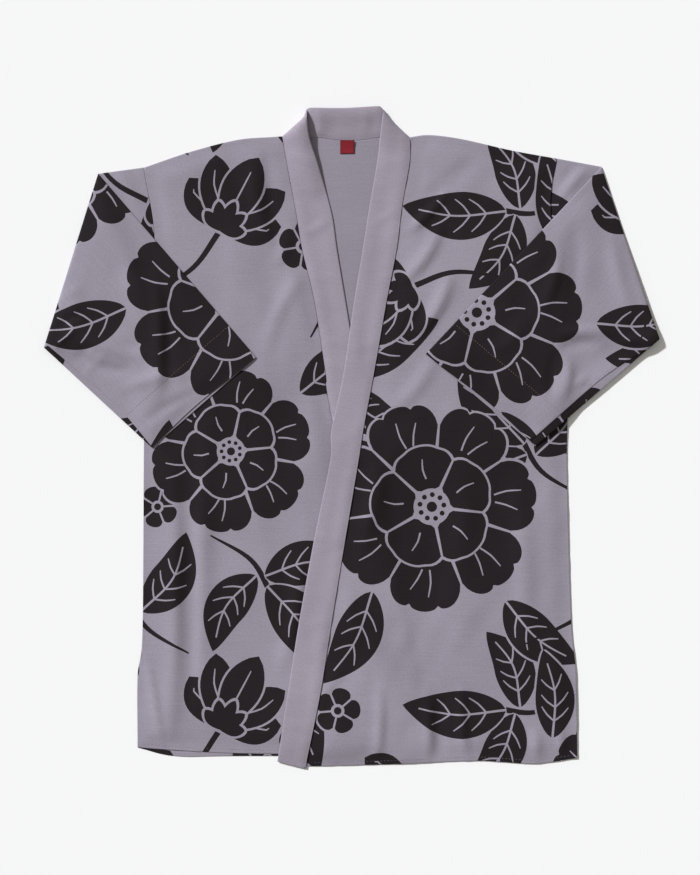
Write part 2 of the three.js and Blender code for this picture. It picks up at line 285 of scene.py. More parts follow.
def ripple(points: np.ndarray, turn: float, length: float, shift: np.ndarray | float) -> np.ndarray:
    """Returns a wave from -1 to 1 that runs at a turn, with a wavelength and a shift."""
    return np.sin(points @ np.array([math.cos(turn), math.sin(turn)]) * 2 * math.pi / length + shift)


@dataclass(frozen=True)
class Lie:
    """How a layer lies: its loft off the one below, its creases and its fine waves.

    Creases and waves fade towards the layer's edges, and lifts don't. The waves run
    mostly across the direction in which the cloth hangs, given in degrees.
    """

    loft: float = 0.8
    settle: float = 40.0
    creases: tuple[Crease, ...] = ()
    waviness: float = 0.35
    seed: int = 0
    lifts: tuple[Crease, ...] = ()
    across: float = 0.0
    scatter: float = 34.0

    WAVES = 12
    EDGE_SHARE = 0.3  # of the relief, left at the layer's edge
    SOFT = 0.5  # how softly the layer comes to rest on the one below

    def relief(self, points: np.ndarray) -> np.ndarray:
        """Returns the creases and waves at each point, above a level layer."""
        rng = np.random.default_rng(SEED + self.seed)
        total = np.zeros(len(points))
        bend = sum(ripple(points, rng.uniform(0, 6.28), rng.uniform(240, 420), k) for k in range(3))
        for _ in range(self.WAVES):
            turn = math.radians(rng.normal(self.across, self.scatter))
            length = rng.uniform(38, 190)
            phase = ripple(points, rng.uniform(0, 6.28), rng.uniform(150, 330), rng.uniform(0, 6.28))
            patch = 0.55 + 0.45 * phase
            deep = self.waviness * (length / 120) ** 0.9 * rng.uniform(0.5, 1.0)
            total += deep * patch * ripple(points, turn, length, 0.9 * bend + rng.uniform(0, 6.28))
        for crease in self.creases:
            total += crease.height(points)
        return total

    def lifted(self, points: np.ndarray, depth: np.ndarray) -> np.ndarray:
        """Returns how far the layer stands off the one below.

        Args:
            points: where.
            depth: each point's distance from the layer's edge.
        """
        settle = smoothstep(depth, 0, self.settle)
        share = self.EDGE_SHARE + (1 - self.EDGE_SHARE) * settle
        rise = self.loft * settle + self.relief(points) * share
        rise += sum(crease.height(points) for crease in self.lifts)
        return (rise + np.sqrt(rise**2 + self.SOFT**2)) / 2


class Pile:
    """The heights of all the cloth laid so far, on a square raster."""

    STEP = 2.5
    HALF_X = 480.0
    HALF_Y = 510.0
    SPREAD = 3  # cells that a layer's edge lifts the next one beyond it
    SOFTEN = 4
    BLUR = (1, 4, 6, 4, 1)

    def __init__(self) -> None:
        """Starts with the bare surface."""
        self.x = np.arange(-self.HALF_X, self.HALF_X + self.STEP, self.STEP)
        self.y = np.arange(-self.HALF_Y, self.HALF_Y + self.STEP, self.STEP)
        across, up = np.meshgrid(self.x, self.y)
        self.points = np.column_stack([across.ravel(), up.ravel()])
        self.top = np.zeros(across.shape)

    def eased(self) -> np.ndarray:
        """Returns the heights that a limp layer takes over the pile."""
        heights = self.top
        for _ in range(self.SPREAD):
            beside = [np.roll(heights, shift, axis) for axis in (0, 1) for shift in (-1, 1)]
            heights = np.maximum.reduce([heights, *beside])
        for _ in range(self.SOFTEN):
            for axis in (0, 1):
                sides = [np.roll(heights, shift, axis) for shift in (-2, -1, 0, 1, 2)]
                heights = sum(w * s for w, s in zip(self.BLUR, sides)) / sum(self.BLUR)
        return heights

    def sample(self, heights: np.ndarray, points: np.ndarray) -> np.ndarray:
        """Reads a raster between its cells, with a smooth curve through them."""
        place = (points - [self.x[0], self.y[0]]) / self.STEP
        cell = np.floor(place).astype(int)
        part = place - cell
        rows, columns = heights.shape

        def weights(t: np.ndarray) -> list[np.ndarray]:
            """Returns the four cubic weights at a place between two cells."""
            return [
                -0.5 * t + t**2 - 0.5 * t**3,
                1 - 2.5 * t**2 + 1.5 * t**3,
                0.5 * t + 2 * t**2 - 1.5 * t**3,
                -0.5 * t**2 + 0.5 * t**3,
            ]

        total = np.zeros(len(points))
        for i, wx in enumerate(weights(part[:, 0])):
            for j, wy in enumerate(weights(part[:, 1])):
                column = np.clip(cell[:, 0] + i - 1, 0, columns - 1)
                row = np.clip(cell[:, 1] + j - 1, 0, rows - 1)
                total += wx * wy * heights[row, column]
        return total


class Layer:
    """One layer at rest on the pile. Making it adds it to the pile."""

    def __init__(
        self, pile: Pile, outline: Outline, lie: Lie, thick: float = WALL, low: float | None = None
    ) -> None:
        """Lays the layer.

        Args:
            pile: the cloth laid so far.
            outline: the layer's edge.
            lie: its loft, creases and waves.
            thick: its whole thickness.
            low: its underside's height, where it is level but for its lifts.
        """
        self.pile, self.outline, self.lie, self.low = pile, outline, lie, low
        self.rest = pile.eased()
        within = contains(pile.points, outline.coarse)
        points = pile.points[within]
        depth = nearest(points, outline.coarse, closed=True)[0]
        tops = pile.top.ravel()
        tops[within] = np.maximum(tops[within], self.under(points, depth) + thick)
        pile.top = tops.reshape(pile.top.shape)

    def under(self, points: np.ndarray, depth: np.ndarray) -> np.ndarray:
        """Returns the height of the layer's underside.

        Args:
            points: where.
            depth: each point's distance from the layer's edge.
        """
        if self.low is not None:
            return self.low + sum((c.height(points) for c in self.lie.lifts), np.zeros(len(points)))
        return self.pile.sample(self.rest, points) + AIR + self.lie.lifted(points, depth)


# ---- The printed pattern -------------------------------------------------------------


@dataclass
class Figure:
    """A printed figure: loops painted one over the other, with ink or bare."""

    strokes: list[tuple[np.ndarray, bool]] = field(default_factory=list)

    def paint(self, loop: np.ndarray, ink: bool = True) -> None:
        """Paints a loop over what is there."""
        self.strokes.append((loop, ink))

    def add(self, other: "Figure", at: Point = (0.0, 0.0), turn: float = 0.0) -> None:
        """Paints another figure, turned by degrees and moved."""
        c, s = math.cos(math.radians(turn)), math.sin(math.radians(turn))
        matrix = np.array([[c, s], [-s, c]])
        self.strokes += [(loop @ matrix + at, ink) for loop, ink in other.strokes]

    def placed(self, at: Point, turn: float) -> "Figure":
        """Returns a copy, turned by degrees and moved."""
        copy = Figure()
        copy.add(self, at, turn)
        return copy


LINE = 3.0  # width of the bare lines in the print


def circle(at: Point, radius: float, count: int = 14) -> np.ndarray:
    """Returns a round loop."""
    turn = np.arange(count) * 2 * math.pi / count
    return np.column_stack([at[0] + radius * np.cos(turn), at[1] + radius * np.sin(turn)])


def tapered(points: Sequence[Point], width: float, loss: float, power: float) -> np.ndarray:
    """Returns a strip along a few points.

    Args:
        points: where it runs.
        width: its width at the start.
        loss: the share of its width that is lost by its far end.
        power: how late it narrows.

    Returns:
        The loop round it.
    """
    path = smooth_path(points, 8.0)
    half = width / 2 * (1 - loss * np.linspace(0, 1, len(path)) ** power)
    return strip(path, half, half)


def vein(points: Sequence[Point]) -> np.ndarray:
    """Returns a thin line along a few points."""
    return tapered(points, 2.5, 0.4, 3)


def stalk(points: Sequence[Point]) -> np.ndarray:
    """Returns a stalk along a few points."""
    return tapered(points, 8.4, 0.72, 1.6)


def teardrop(length: float, width: float, grow: float = 0.0) -> np.ndarray:
    """Returns a closed petal along +X, rounder towards its tip, and larger all round by grow."""
    place = np.linspace(0, 1, 15)
    rib = np.column_stack([place * (length + grow) - grow * (1 - place), 0 * place])
    half = width / 2 * np.sin(math.pi * place**1.25) ** 0.72 + grow
    return strip(rib, half, half)


def petal(inner: float, outer: float, spread: float, lobes: int, grow: float = 0.0) -> np.ndarray:
    """Returns one petal that points along +X, with a scalloped outer edge.

    Args:
        inner: its root's distance from the flower's middle.
        outer: its tip's distance.
        spread: the angle that it has to itself, in radians.
        lobes: the scallops along its edge.
        grow: how much larger it is all round.
    """
    turn = np.linspace(-1, 1, 9 * lobes + 1)
    crown = 1 - 0.17 * np.abs(turn) ** 3.2
    scallop = 0.05 * np.sqrt(np.abs(np.cos(turn * lobes * math.pi / 2))) - 0.05
    radius = outer * (crown + scallop) + grow
    room = np.arcsin(np.clip((LINE / 2 - grow) / radius, -0.9, 0.9))
    angle = turn * (spread / 2 - room)
    edge = np.column_stack([radius * np.cos(angle), radius * np.sin(angle)])
    root = inner - grow
    half = max(root * math.tan(spread / 2) - LINE / 2 + grow, 0.8)
    sides = np.array([[0.12, 1.0], [0.0, 0.55], [0.0, -0.55], [0.12, -1.0]])
    return np.vstack([edge, sides * half + [root, 0]])


def paint_ring(
    figure: Figure,
    radius: float,
    count: int,
    reach: Point,
    lobes: int,
    veins: Sequence[Sequence[Point]] = (),
    shift: float = 0.0,
) -> None:
    """Paints a ring of petals, each with a bare line round it.

    Args:
        figure: where they go.
        radius: the flower's radius.
        count: how many petals there are.
        reach: where they begin and end, as shares of the radius.
        lobes: the scallops along each one's edge.
        veins: the bare lines on each one, in shares of the radius.
        shift: how far the ring is turned, as a share of one petal.
    """
    spread = 2 * math.pi / count
    inner, outer = reach[0] * radius, reach[1] * radius
    bare = Figure([(petal(inner, outer, spread, lobes, LINE), False)])
    inked = Figure([(petal(inner, outer, spread, lobes), True)])
    for line in veins:
        inked.paint(vein([(x * radius, y * radius) for x, y in line]), False)
    for part in (bare, inked):
        for i in range(count):
            figure.add(part, turn=math.degrees((i + shift) * spread))


OUTER_VEINS = [
    [(0.60, 0.03), (0.72, 0.05), (0.86, 0.04)],
    [(0.60, -0.04), (0.70, -0.08), (0.80, -0.14)],
]
INNER_VEINS = [[(0.27, 0), (0.36, 0.015), (0.46, 0)]]


def blossom(radius: float, outer_petals: int, inner_petals: int) -> Figure:
    """Returns an open flower with two rings of scalloped petals round its stamens."""
    figure = Figure()
    paint_ring(figure, radius, outer_petals, (0.40, 1.0), 3, OUTER_VEINS)
    paint_ring(figure, radius, inner_petals, (0.16, 0.58), 2, INNER_VEINS, 0.3)
    figure.paint(circle((0, 0), 0.175 * radius, 30), False)
    for k in range(9):
        figure.paint(circle(polar((0, 0), 0.115 * radius, 40 * k), 0.024 * radius, 10))
    figure.paint(circle((0, 0), 0.05 * radius, 14))
    return figure


def bud(radius: float) -> Figure:
    """Returns a half-open flower that points along +X, with its cup and a curved stalk."""
    figure = Figure()
    figure.paint(stalk([(0, 0), (-0.6 * radius, 0.10 * radius), (-1.25 * radius, 0.55 * radius)]))
    petals = [(side * turn, long, 0.42) for turn, long in ((58, 0.74), (31, 0.92)) for side in (1, -1)]
    for turn, long, wide in [*petals, (0, 1.0, 0.48)]:
        figure.add(Figure([(teardrop(long * radius, wide * radius, LINE), False)]), turn=turn)
        one = Figure([(teardrop(long * radius, wide * radius), True)])
        bow = 0.04 * radius * (turn > 0) - 0.04 * radius * (turn < 0)
        ends = [(0.40 * radius, 0), (0.56 * radius, bow), (0.80 * long * radius, bow / 2)]
        one.paint(vein(ends), False)
        figure.add(one, turn=turn)
    for grow, ink in ((LINE, False), (0.0, True)):
        for turn, long in ((64, 0.30), (-64, 0.30), (30, 0.36), (-30, 0.36), (0, 0.40)):
            figure.add(Figure([(teardrop(long * radius, 0.15 * radius, grow), ink)]), turn=turn)
    return figure


def leaf(length: float, width: float, bend: float) -> Figure:
    """Returns a broad leaf along +X with a midrib and curved side veins.

    Args:
        length: from stalk to tip.
        width: across its widest place.
        bend: how far its middle bows to the left.
    """
    rib = smooth_path([(0, 0), (0.5 * length, bend), (length, 0)], length / 26)
    place = np.linspace(0, 1, len(rib))
    half = width / 2 * np.sin(math.pi * place**0.82) ** 0.85 + 0.3
    figure = Figure([(strip(rib, half + LINE, half + LINE), False)])
    figure.paint(strip(rib, half, half))
    normals = side_normals(rib)
    inner = slice(0, int(0.86 * len(rib)))
    narrow = 1.7 - 0.7 * place[inner]
    figure.paint(strip(rib[inner], narrow, narrow), False)
    for share in (0.20, 0.36, 0.52):
        i = int(share * len(rib))
        onward = min(i + len(rib) // 6, len(rib) - 1)
        for side in (1, -1):
            tip = rib[onward] + normals[onward] * side * half[onward] * 0.70
            middle = rib[i] * 0.42 + tip * 0.58 + (rib[i] - rib[onward]) * 0.12
            figure.paint(vein([rib[i], middle, tip]), False)
    return figure


def spray(length: float) -> Figure:
    """Returns three leaves on one curved stalk."""
    figure = Figure()
    bend = [(0.1 * length, 0), (-0.25 * length, -0.02 * length), (-0.62 * length, -0.24 * length)]
    figure.paint(stalk(bend))
    figure.add(leaf(0.84 * length, 0.40 * length, 0.10 * length), (-0.06 * length, 0.02 * length), 66)
    figure.add(leaf(0.80 * length, 0.38 * length, -0.10 * length), (-0.10 * length, -0.04 * length), -58)
    figure.add(leaf(length, 0.46 * length, 0.07 * length), (0.03 * length, 0), 5)
    return figure


def small_flower(radius: float) -> Figure:
    """Returns a small flower of five round petals."""
    figure = Figure()
    paint_ring(figure, radius, 5, (0.1, 1.0), 1)
    figure.paint(circle((0, 0), 0.30 * radius, 16), False)
    figure.paint(circle((0, 0), 0.17 * radius, 12))
    return figure


class Yardage:
    """Printed cloth by the metre: one arrangement of figures, repeated with a half drop."""

    WIDE = 580.0
    TALL = 720.0

    def __init__(self) -> None:
        """Arranges the figures of one repeat, the ones below first."""
        self.figures = [
            spray(165).placed((292, 300), 118),
            spray(150).placed((36, 400), 28),
            spray(158).placed((486, 330), -62),
            spray(150).placed((268, 640), 172),
            leaf(150, 66, 12).placed((70, 92), -118),
            leaf(140, 62, -12).placed((262, 78), -40),
            leaf(130, 58, 10).placed((536, 604), 28),
            leaf(128, 56, -10).placed((330, 600), 96),
            bud(120).placed((420, 118), 62),
            bud(108).placed((128, 532), 208),
            small_flower(36).placed((540, 96), 10),
            small_flower(33).placed((20, 640), 5),
            small_flower(30).placed((330, 440), 40),
            blossom(152, 7, 5).placed((156, 214), 8),
            blossom(118, 6, 5).placed((436, 520), 20),
        ]

    def cut(self, outline: Outline, at: Point, turn: float) -> Figure:
        """Returns the figures that fall on a cut.

        Args:
            outline: the cut's edge.
            at: where the repeat's corner falls.
            turn: how far the cloth is turned, in degrees.
        """
        low, high = outline.loop.min(0), outline.loop.max(0)
        found = Figure()
        for figure in self.figures:
            for column in range(-4, 5):
                for row in range(-4, 5):
                    drop = column % 2 * self.TALL / 2
                    corner = (column * self.WIDE, row * self.TALL + drop)
                    one = figure.placed(corner, 0).placed(at, turn)
                    points = np.vstack([loop for loop, _ in one.strokes])
                    if (points.max(0) > low).all() and (points.min(0) < high).all():
                        found.strokes += one.strokes
        return found


# ---- Meshes --------------------------------------------------------------------------


@dataclass
class Drawing:
    """Points of the plane, and the edges between them that a mesh has to keep."""

    parts: list[np.ndarray] = field(default_factory=list)
    edges: list[tuple[int, int]] = field(default_factory=list)
    count: int = 0

    def loose(self, points: np.ndarray) -> int:
        """Adds points without edges, and returns the number of the first."""
        first = self.count
        self.parts.append(points)
        self.count += len(points)
        return first

    def path(self, points: np.ndarray, closed: bool) -> None:
        """Adds a path's points, and the edges between them."""
        first = self.loose(points)
        self.edges += [(first + i, first + i + 1) for i in range(len(points) - 1)]
        if closed:
            self.edges.append((first + len(points) - 1, first))

    def segments(self, ends: np.ndarray) -> None:
        """Adds separate edges, each given by its two ends."""
        first = self.loose(ends.reshape(-1, 2))
        self.edges += [(first + 2 * i, first + 2 * i + 1) for i in range(len(ends))]

    def triangles(self) -> tuple[np.ndarray, np.ndarray]:
        """Returns the points and the triangles between them."""
        points = [Vector(point) for point in np.vstack(self.parts).tolist()]
        found = delaunay_2d_cdt(points, self.edges, [], 0, 0.01, False)
        return np.array([tuple(point) for point in found[0]]), np.array(found[2])


class CutMesh:
    """A cut, made into triangles in the plane, with the edges of its print cut in."""

    RINGS = (0.12, 0.45, 1.0, 1.8, 3.0)  # depths inside the edge that have points of their own
    ROW = 0.866  # from one row of the grid to the next, for a spacing of 1
    CLEAR = 0.25  # how far the grid stays off the print's edges, for a spacing of 1

    def __init__(
        self,
        outline: Outline,
        figure: Figure,
        grid: float,
        lines: Sequence[np.ndarray] = (),
        patch: tuple[np.ndarray, Figure] | None = None,
    ) -> None:
        """Triangulates the cut.

        Args:
            outline: the cut's edge.
            figure: the print on it.
            grid: spacing of the points away from edges.
            lines: further lines to keep, such as a seam that crosses the cut.
            patch: a loop in which other cloth shows, and the print on that.
        """
        self.outline = outline
        self.lines = [smooth_path(line, Outline.FINE) for line in lines]
        self.strokes = self._near(figure)
        self.patch = patch[0] if patch else None
        self.others = self._near(patch[1]) if patch else []
        drawing = self._edges()
        borders = self._borders(grid)
        drawing.segments(borders)
        for ring in self._rings():
            drawing.loose(ring)
        drawing.loose(self._grid(grid, borders))
        points, faces = drawing.triangles()
        middles = points[faces].mean(1)
        kept = contains(middles, outline.loop)
        self.faces, self.middles = faces[kept], middles[kept]
        self.ink = self._inked(self.middles)
        used, inverse = np.unique(self.faces, return_inverse=True)
        self.points = points[used]
        self.faces = inverse.reshape(self.faces.shape)
        self.depth = nearest(self.points, outline.loop, closed=True)[0]
        self.rim, self.rim_kinds = self._rim()

    def _near(self, figure: Figure) -> list[tuple[np.ndarray, bool]]:
        """Keeps the strokes that reach the cut."""
        low, high = self.outline.loop.min(0), self.outline.loop.max(0)
        return [
            (loop, ink)
            for loop, ink in figure.strokes
            if (loop.max(0) > low).all() and (loop.min(0) < high).all()
        ]

    def _edges(self) -> Drawing:
        """Returns a drawing of the cut's edge and its further lines."""
        drawing = Drawing()
        drawing.path(self.outline.loop, True)
        for line in self.lines:
            drawing.path(line, False)
        return drawing

    def _borders(self, grid: float) -> np.ndarray:
        """Returns the ends of each short edge between ink and bare ground."""
        if not self.strokes and not self.others:
            return np.zeros((0, 2, 2))
        drawing = self._edges()
        for loop, _ in self.strokes + self.others:
            drawing.path(spaced(loop, grid), True)
        points, faces = drawing.triangles()
        ink = self._inked(points[faces].mean(1))
        sides = np.sort(faces[:, [0, 1, 1, 2, 2, 0]].reshape(-1, 2), axis=1)
        owners = np.repeat(ink, 3)
        order = np.lexsort((sides[:, 1], sides[:, 0]))
        sides, owners = sides[order], owners[order]
        same = (sides[1:] == sides[:-1]).all(1) & (owners[1:] != owners[:-1])
        return points[sides[1:][same]]

    def _grid(self, grid: float, borders: np.ndarray) -> np.ndarray:
        """Returns evenly spread points, clear of the cut's edge and of the print's."""
        low, high = self.outline.loop.min(0), self.outline.loop.max(0)
        rows = np.arange(low[1], high[1], grid * self.ROW)
        columns = np.arange(low[0], high[0], grid)
        inner = np.array([(x + (j % 2) * grid / 2, y) for j, y in enumerate(rows) for x in columns])
        inner = inner[contains(inner, self.outline.loop)]
        clear = nearest(inner, self.outline.loop, closed=True)[0] > self.RINGS[-1] + grid * 0.4
        inner = inner[clear]
        if not len(borders):
            return inner
        marks = np.vstack([borders[:, 0], borders.mean(1)])
        apart = [self._away(inner[k : k + 256], marks) for k in range(0, len(inner), 256)]
        return inner[np.concatenate(apart) > self.CLEAR * grid]

    @staticmethod
    def _away(points: np.ndarray, marks: np.ndarray) -> np.ndarray:
        """Returns each point's distance from the nearest mark."""
        return np.sqrt(((points[:, None] - marks[None]) ** 2).sum(2).min(1))

    def _inked(self, points: np.ndarray) -> np.ndarray:
        """Tells which points carry ink, on the cut's own print or on the patch's."""
        ink = self._painted(points, self.strokes)
        if self.patch is not None:
            within = contains(points, self.patch)
            ink[within] = self._painted(points[within], self.others)
        return ink

    def _rings(self) -> list[np.ndarray]:
        """Returns points just inside the edge, and beside the further lines."""
        loop = self.outline.loop
        along = np.roll(loop, -1, axis=0) - np.roll(loop, 1, axis=0)
        along /= np.linalg.norm(along, axis=1, keepdims=True)
        inward = np.column_stack([-along[:, 1], along[:, 0]])
        rings = []
        for depth in self.RINGS:
            ring = loop + inward * depth
            inside = contains(ring, loop)
            true_depth = nearest(ring, loop, closed=True)[0]
            rings.append(ring[inside & (true_depth > 0.7 * depth)])
        for line in self.lines:
            normals = side_normals(line)
            for away in (-1.2, -0.4, 0.4, 1.2):
                beside = line + normals * away
                inside = contains(beside, loop)
                beside = beside[inside]
                rings.append(beside[nearest(beside, loop, closed=True)[0] > 0.5])
        return rings

    @staticmethod
    def _painted(points: np.ndarray, strokes: Sequence[tuple[np.ndarray, bool]]) -> np.ndarray:
        """Tells which points carry ink, once every stroke is painted in order."""
        ink = np.zeros(len(points), bool)
        for loop, wet in strokes:
            low, high = loop.min(0), loop.max(0)
            close = np.flatnonzero(((points > low) & (points < high)).all(1))
            if len(close):
                ink[close[contains(points[close], loop)]] = wet
        return ink

    def _rim(self) -> tuple[np.ndarray, list[Edge]]:
        """Returns the edges round the cut, counter-clockwise, and their kinds."""
        sides = self.faces[:, [0, 1, 1, 2, 2, 0]].reshape(-1, 2)
        keys = np.sort(sides, axis=1)
        _, first, count = np.unique(keys, axis=0, return_index=True, return_counts=True)
        rim = sides[first[count == 1]]
        middles = self.points[rim].mean(1)
        _, segment, _, _ = nearest(middles, self.outline.loop, closed=True)
        return rim, [self.outline.kinds[k] for k in segment]

    def distance(self, kind: Edge) -> tuple[np.ndarray, np.ndarray]:
        """Measures to the edges of a kind.

        Args:
            kind: the kind of edge.

        Returns:
            Each point's distance, and the unit vectors that lead away from the edge.
        """
        best = np.full(len(self.points), 1e6)
        away = np.zeros((len(self.points), 2))
        for run in self.outline.runs:
            if run.kind is not kind:
                continue
            path = smooth_path(run.points, Outline.FINE)
            distance, segment, _, _ = nearest(self.points, path, closed=False)
            closer = distance < best
            best[closer] = distance[closer]
            step = path[segment + 1] - path[segment]
            inward = np.column_stack([-step[:, 1], step[:, 0]])
            inward /= np.linalg.norm(inward, axis=1, keepdims=True)
            away[closer] = inward[closer]
        return best, away

    def along(self, start: Point, end: Point) -> list[int]:
        """Returns the rim's points on a straight edge, from its start to its end."""
        first, last = np.array(start, float), np.array(end, float)
        span = last - first
        rim = np.unique(self.rim)
        rel = self.points[rim] - first
        t = rel @ span / (span @ span)
        off = np.abs(rel[:, 0] * span[1] - rel[:, 1] * span[0]) / np.hypot(*span)
        on = (off < 0.02) & (t > -1e-4) & (t < 1 + 1e-4)
        return [int(i) for i in rim[on][np.argsort(t[on])]]


def linked(name: str, data: bpy.types.ID) -> bpy.types.Object:
    """Puts new data into the scene as an object, and returns it."""
    thing = bpy.data.objects.new(name, data)
    bpy.context.scene.collection.objects.link(thing)
    return thing


def map_grain(mesh: bpy.types.Mesh, turn: float = 0.0) -> None:
    """Smooths a mesh's faces, and gives it the flat map that its finish reads.

    Args:
        mesh: the mesh, in metres.
        turn: how far the cloth's warp is turned, in radians.
    """
    corners = np.zeros(len(mesh.loops), np.int32)
    mesh.loops.foreach_get("vertex_index", corners)
    points = np.zeros(len(mesh.vertices) * 3)
    mesh.vertices.foreach_get("co", points)
    c, s = math.cos(turn), math.sin(turn)
    flat = points.reshape(-1, 3)[:, :2] @ np.array([[c, -s], [s, c]])
    mesh.uv_layers.new(name="grain").data.foreach_set("uv", flat[corners].ravel())
    mesh.polygons.foreach_set("use_smooth", np.ones(len(mesh.polygons), bool))


def rounded(depth: np.ndarray, radius: float) -> np.ndarray:
    """Returns nearly 0 at an edge and 1 from a radius inwards, along a quarter circle."""
    t = np.clip(depth / radius, 0, 1)
    return 0.1 + 0.9 * np.sqrt(1 - (1 - t) ** 2)


class ClothMesh:
    """The faces of one cut piece, gathered from its layers."""

    def __init__(self, grain_turn: float = 0.0) -> None:
        """Starts with nothing. The weave's warp is turned by so many degrees from Y."""
        self.grain_turn = math.radians(grain_turn)
        self.points: list[np.ndarray] = []
        self.faces: list[tuple[int, ...]] = []
        self.finish: list[int] = []
        self.count = 0

    def sheet(
        self, cut: CutMesh, heights: np.ndarray, up: bool, finish: np.ndarray, shift: np.ndarray | None = None
    ) -> int:
        """Adds one side of a layer.

        Args:
            cut: the triangles in the plane.
            heights: a height for each point.
            up: whether the side faces up.
            finish: the number of the material on each triangle.
            shift: how far each point moves in the plane.

        Returns:
            The number of the side's first point.
        """
        first = self.count
        flat = cut.points if shift is None else cut.points + shift
        self.points.append(np.column_stack([flat, heights]))
        faces = (cut.faces if up else cut.faces[:, ::-1]) + first
        self.faces += map(tuple, faces.tolist())
        self.finish += finish.astype(int).tolist()
        self.count += len(flat)
        return first

    def rims(self, cut: CutMesh, upper: int, lower: int, kinds: Sequence[Edge]) -> None:
        """Joins two sides of one cut along its edges of some kinds."""
        for (i, j), kind in zip(cut.rim.tolist(), cut.rim_kinds):
            if kind in kinds:
                self.faces.append((lower + i, lower + j, upper + j, upper + i))
                self.finish.append(Surface.GROUND.value)

    def lace(self, first: Sequence[int], second: Sequence[int]) -> None:
        """Joins two rows of points that run side by side."""
        points = np.vstack(self.points)[:, :2]
        start, span = points[first[0]], points[first[-1]] - points[first[0]]
        t1 = (points[list(first)] - start) @ span
        t2 = (points[list(second)] - start) @ span
        i = j = 0
        while i < len(first) - 1 or j < len(second) - 1:
            if j == len(second) - 1 or (i < len(first) - 1 and t1[i + 1] <= t2[j + 1]):
                self.faces.append((first[i], first[i + 1], second[j]))
                i += 1
            else:
                self.faces.append((first[i], second[j + 1], second[j]))
                j += 1
            self.finish.append(Surface.GROUND.value)

    def build(self, name: str, materials: Sequence[bpy.types.Material]) -> bpy.types.Object:
        """Makes the object.

        Args:
            name: the piece's name.
            materials: what the finish numbers stand for.

        Returns:
            The finished piece, closed, with its faces outwards.
        """
        points = np.vstack(self.points)
        mesh = bpy.data.meshes.new(name)
        mesh.from_pydata((points * MM).tolist(), [], self.faces)
        for material in materials:
            mesh.materials.append(material)
        mesh.polygons.foreach_set("material_index", np.array(self.finish, np.int32))
        self._close(mesh)
        map_grain(mesh, self.grain_turn)
        mesh.set_sharp_from_angle(angle=math.radians(70))
        return linked(name, mesh)

    @staticmethod
    def _close(mesh: bpy.types.Mesh) -> None:
        """Fills the small holes at the corners and turns the faces outwards."""
        shell = bmesh.new()
        shell.from_mesh(mesh)
        gaps = [edge for edge in shell.edges if edge.is_boundary]
        if gaps:
            bmesh.ops.holes_fill(shell, edges=gaps, sides=0)
        bmesh.ops.recalc_face_normals(shell, faces=shell.faces)
        still_open = sum(not edge.is_manifold for edge in shell.edges)
        if still_open:
            LOG.warning("%s has %d open edges", mesh.name, still_open)
        shell.to_mesh(mesh)
        shell.free()


class Surface(Enum):
    """The sides of a piece that differ in finish, by the number of their material."""

    GROUND = 0
    PRINT = 1
    INSIDE = 2


def ink_finish(cut: CutMesh) -> np.ndarray:
    """Returns the finish of a printed side, ground or print, for each triangle."""
    return np.where(cut.ink, Surface.PRINT.value, Surface.GROUND.value)


def plain_finish(cut: CutMesh, surface: Surface) -> np.ndarray:
    """Returns one finish for every triangle."""
    return np.full(len(cut.faces), surface.value)


class EdgeWork:
    """What the edges of one cut do to the heights of its layers."""

    HEM_WIDTH = 7.0
    HEM_RISE = 0.45
    STITCH_DIP = 0.18
    STITCH_INSET = 1.6  # from the hem's inner edge
    ROUND = 0.9
    EASE = 4.5  # how far in an edge's shift fades
    PUCKER = 0.42
    PUCKER_REACH = 11

    def __init__(self, cut: CutMesh, seed: int) -> None:
        """Measures the cut's points to its edges."""
        self.cut = cut
        self.away = {kind: cut.distance(kind) for kind in Edge}
        self.pucker = self._pucker(seed)

    def _pucker(self, seed: int) -> np.ndarray:
        """Returns the small waves that stitching draws into an edge."""
        rng = np.random.default_rng(SEED * 7 + seed)
        waves = np.zeros(len(self.cut.points))
        for _ in range(6):
            turn = rng.uniform(0, 2 * math.pi)
            number = 2 * math.pi / rng.uniform(14, 42)
            phase = self.cut.points @ np.array([math.cos(turn), math.sin(turn)]) * number
            waves += np.sin(phase + rng.uniform(0, 6.28)) / 6
        near = np.minimum(self.away[Edge.SEAM][0], self.away[Edge.HEM][0])
        return waves * (self.PUCKER * np.exp(-near / self.PUCKER_REACH) + 0.05)

    def hem_rise(self) -> np.ndarray:
        """Returns the extra thickness of a turned-up hem, with its line of stitches."""
        away = self.away[Edge.HEM][0]
        strip_rise = self.HEM_RISE * (1 - smoothstep(away, self.HEM_WIDTH - 0.6, self.HEM_WIDTH + 0.9))
        from_stitch = away - self.HEM_WIDTH + self.STITCH_INSET
        stitch = self.STITCH_DIP * np.exp(-((from_stitch / 0.7) ** 2))
        return strip_rise - stitch

    def closed(self, heights: np.ndarray, middle: np.ndarray) -> np.ndarray:
        """Brings one side of a layer down to its middle at hems, seams and free ends."""
        for kind in (Edge.HEM, Edge.SEAM, Edge.OPEN):
            heights = middle + (heights - middle) * rounded(self.away[kind][0], self.ROUND)
        return heights

    def turned(
        self, heights: np.ndarray, target: np.ndarray | float, kind: Edge, radius: float, inset: float
    ) -> tuple[np.ndarray, np.ndarray]:
        """Rolls one side of a layer round towards a height at its edges of one kind.

        Args:
            heights: the side's heights.
            target: the height that it rolls to.
            kind: the kind of edge.
            radius: how far from the edge the roll begins.
            inset: how far inside the edge this side turns.

        Returns:
            The new heights, and the shift of each point in the plane.
        """
        away, inward = self.away[kind]
        rolled = target + (heights - target) * rounded(away, radius)
        ease = 1 - smoothstep(away, 0, self.EASE)
        return rolled, inward * (inset * ease)[:, None]


# ---- Finishes ------------------------------------------------------------------------

Colour = tuple[float, float, float]


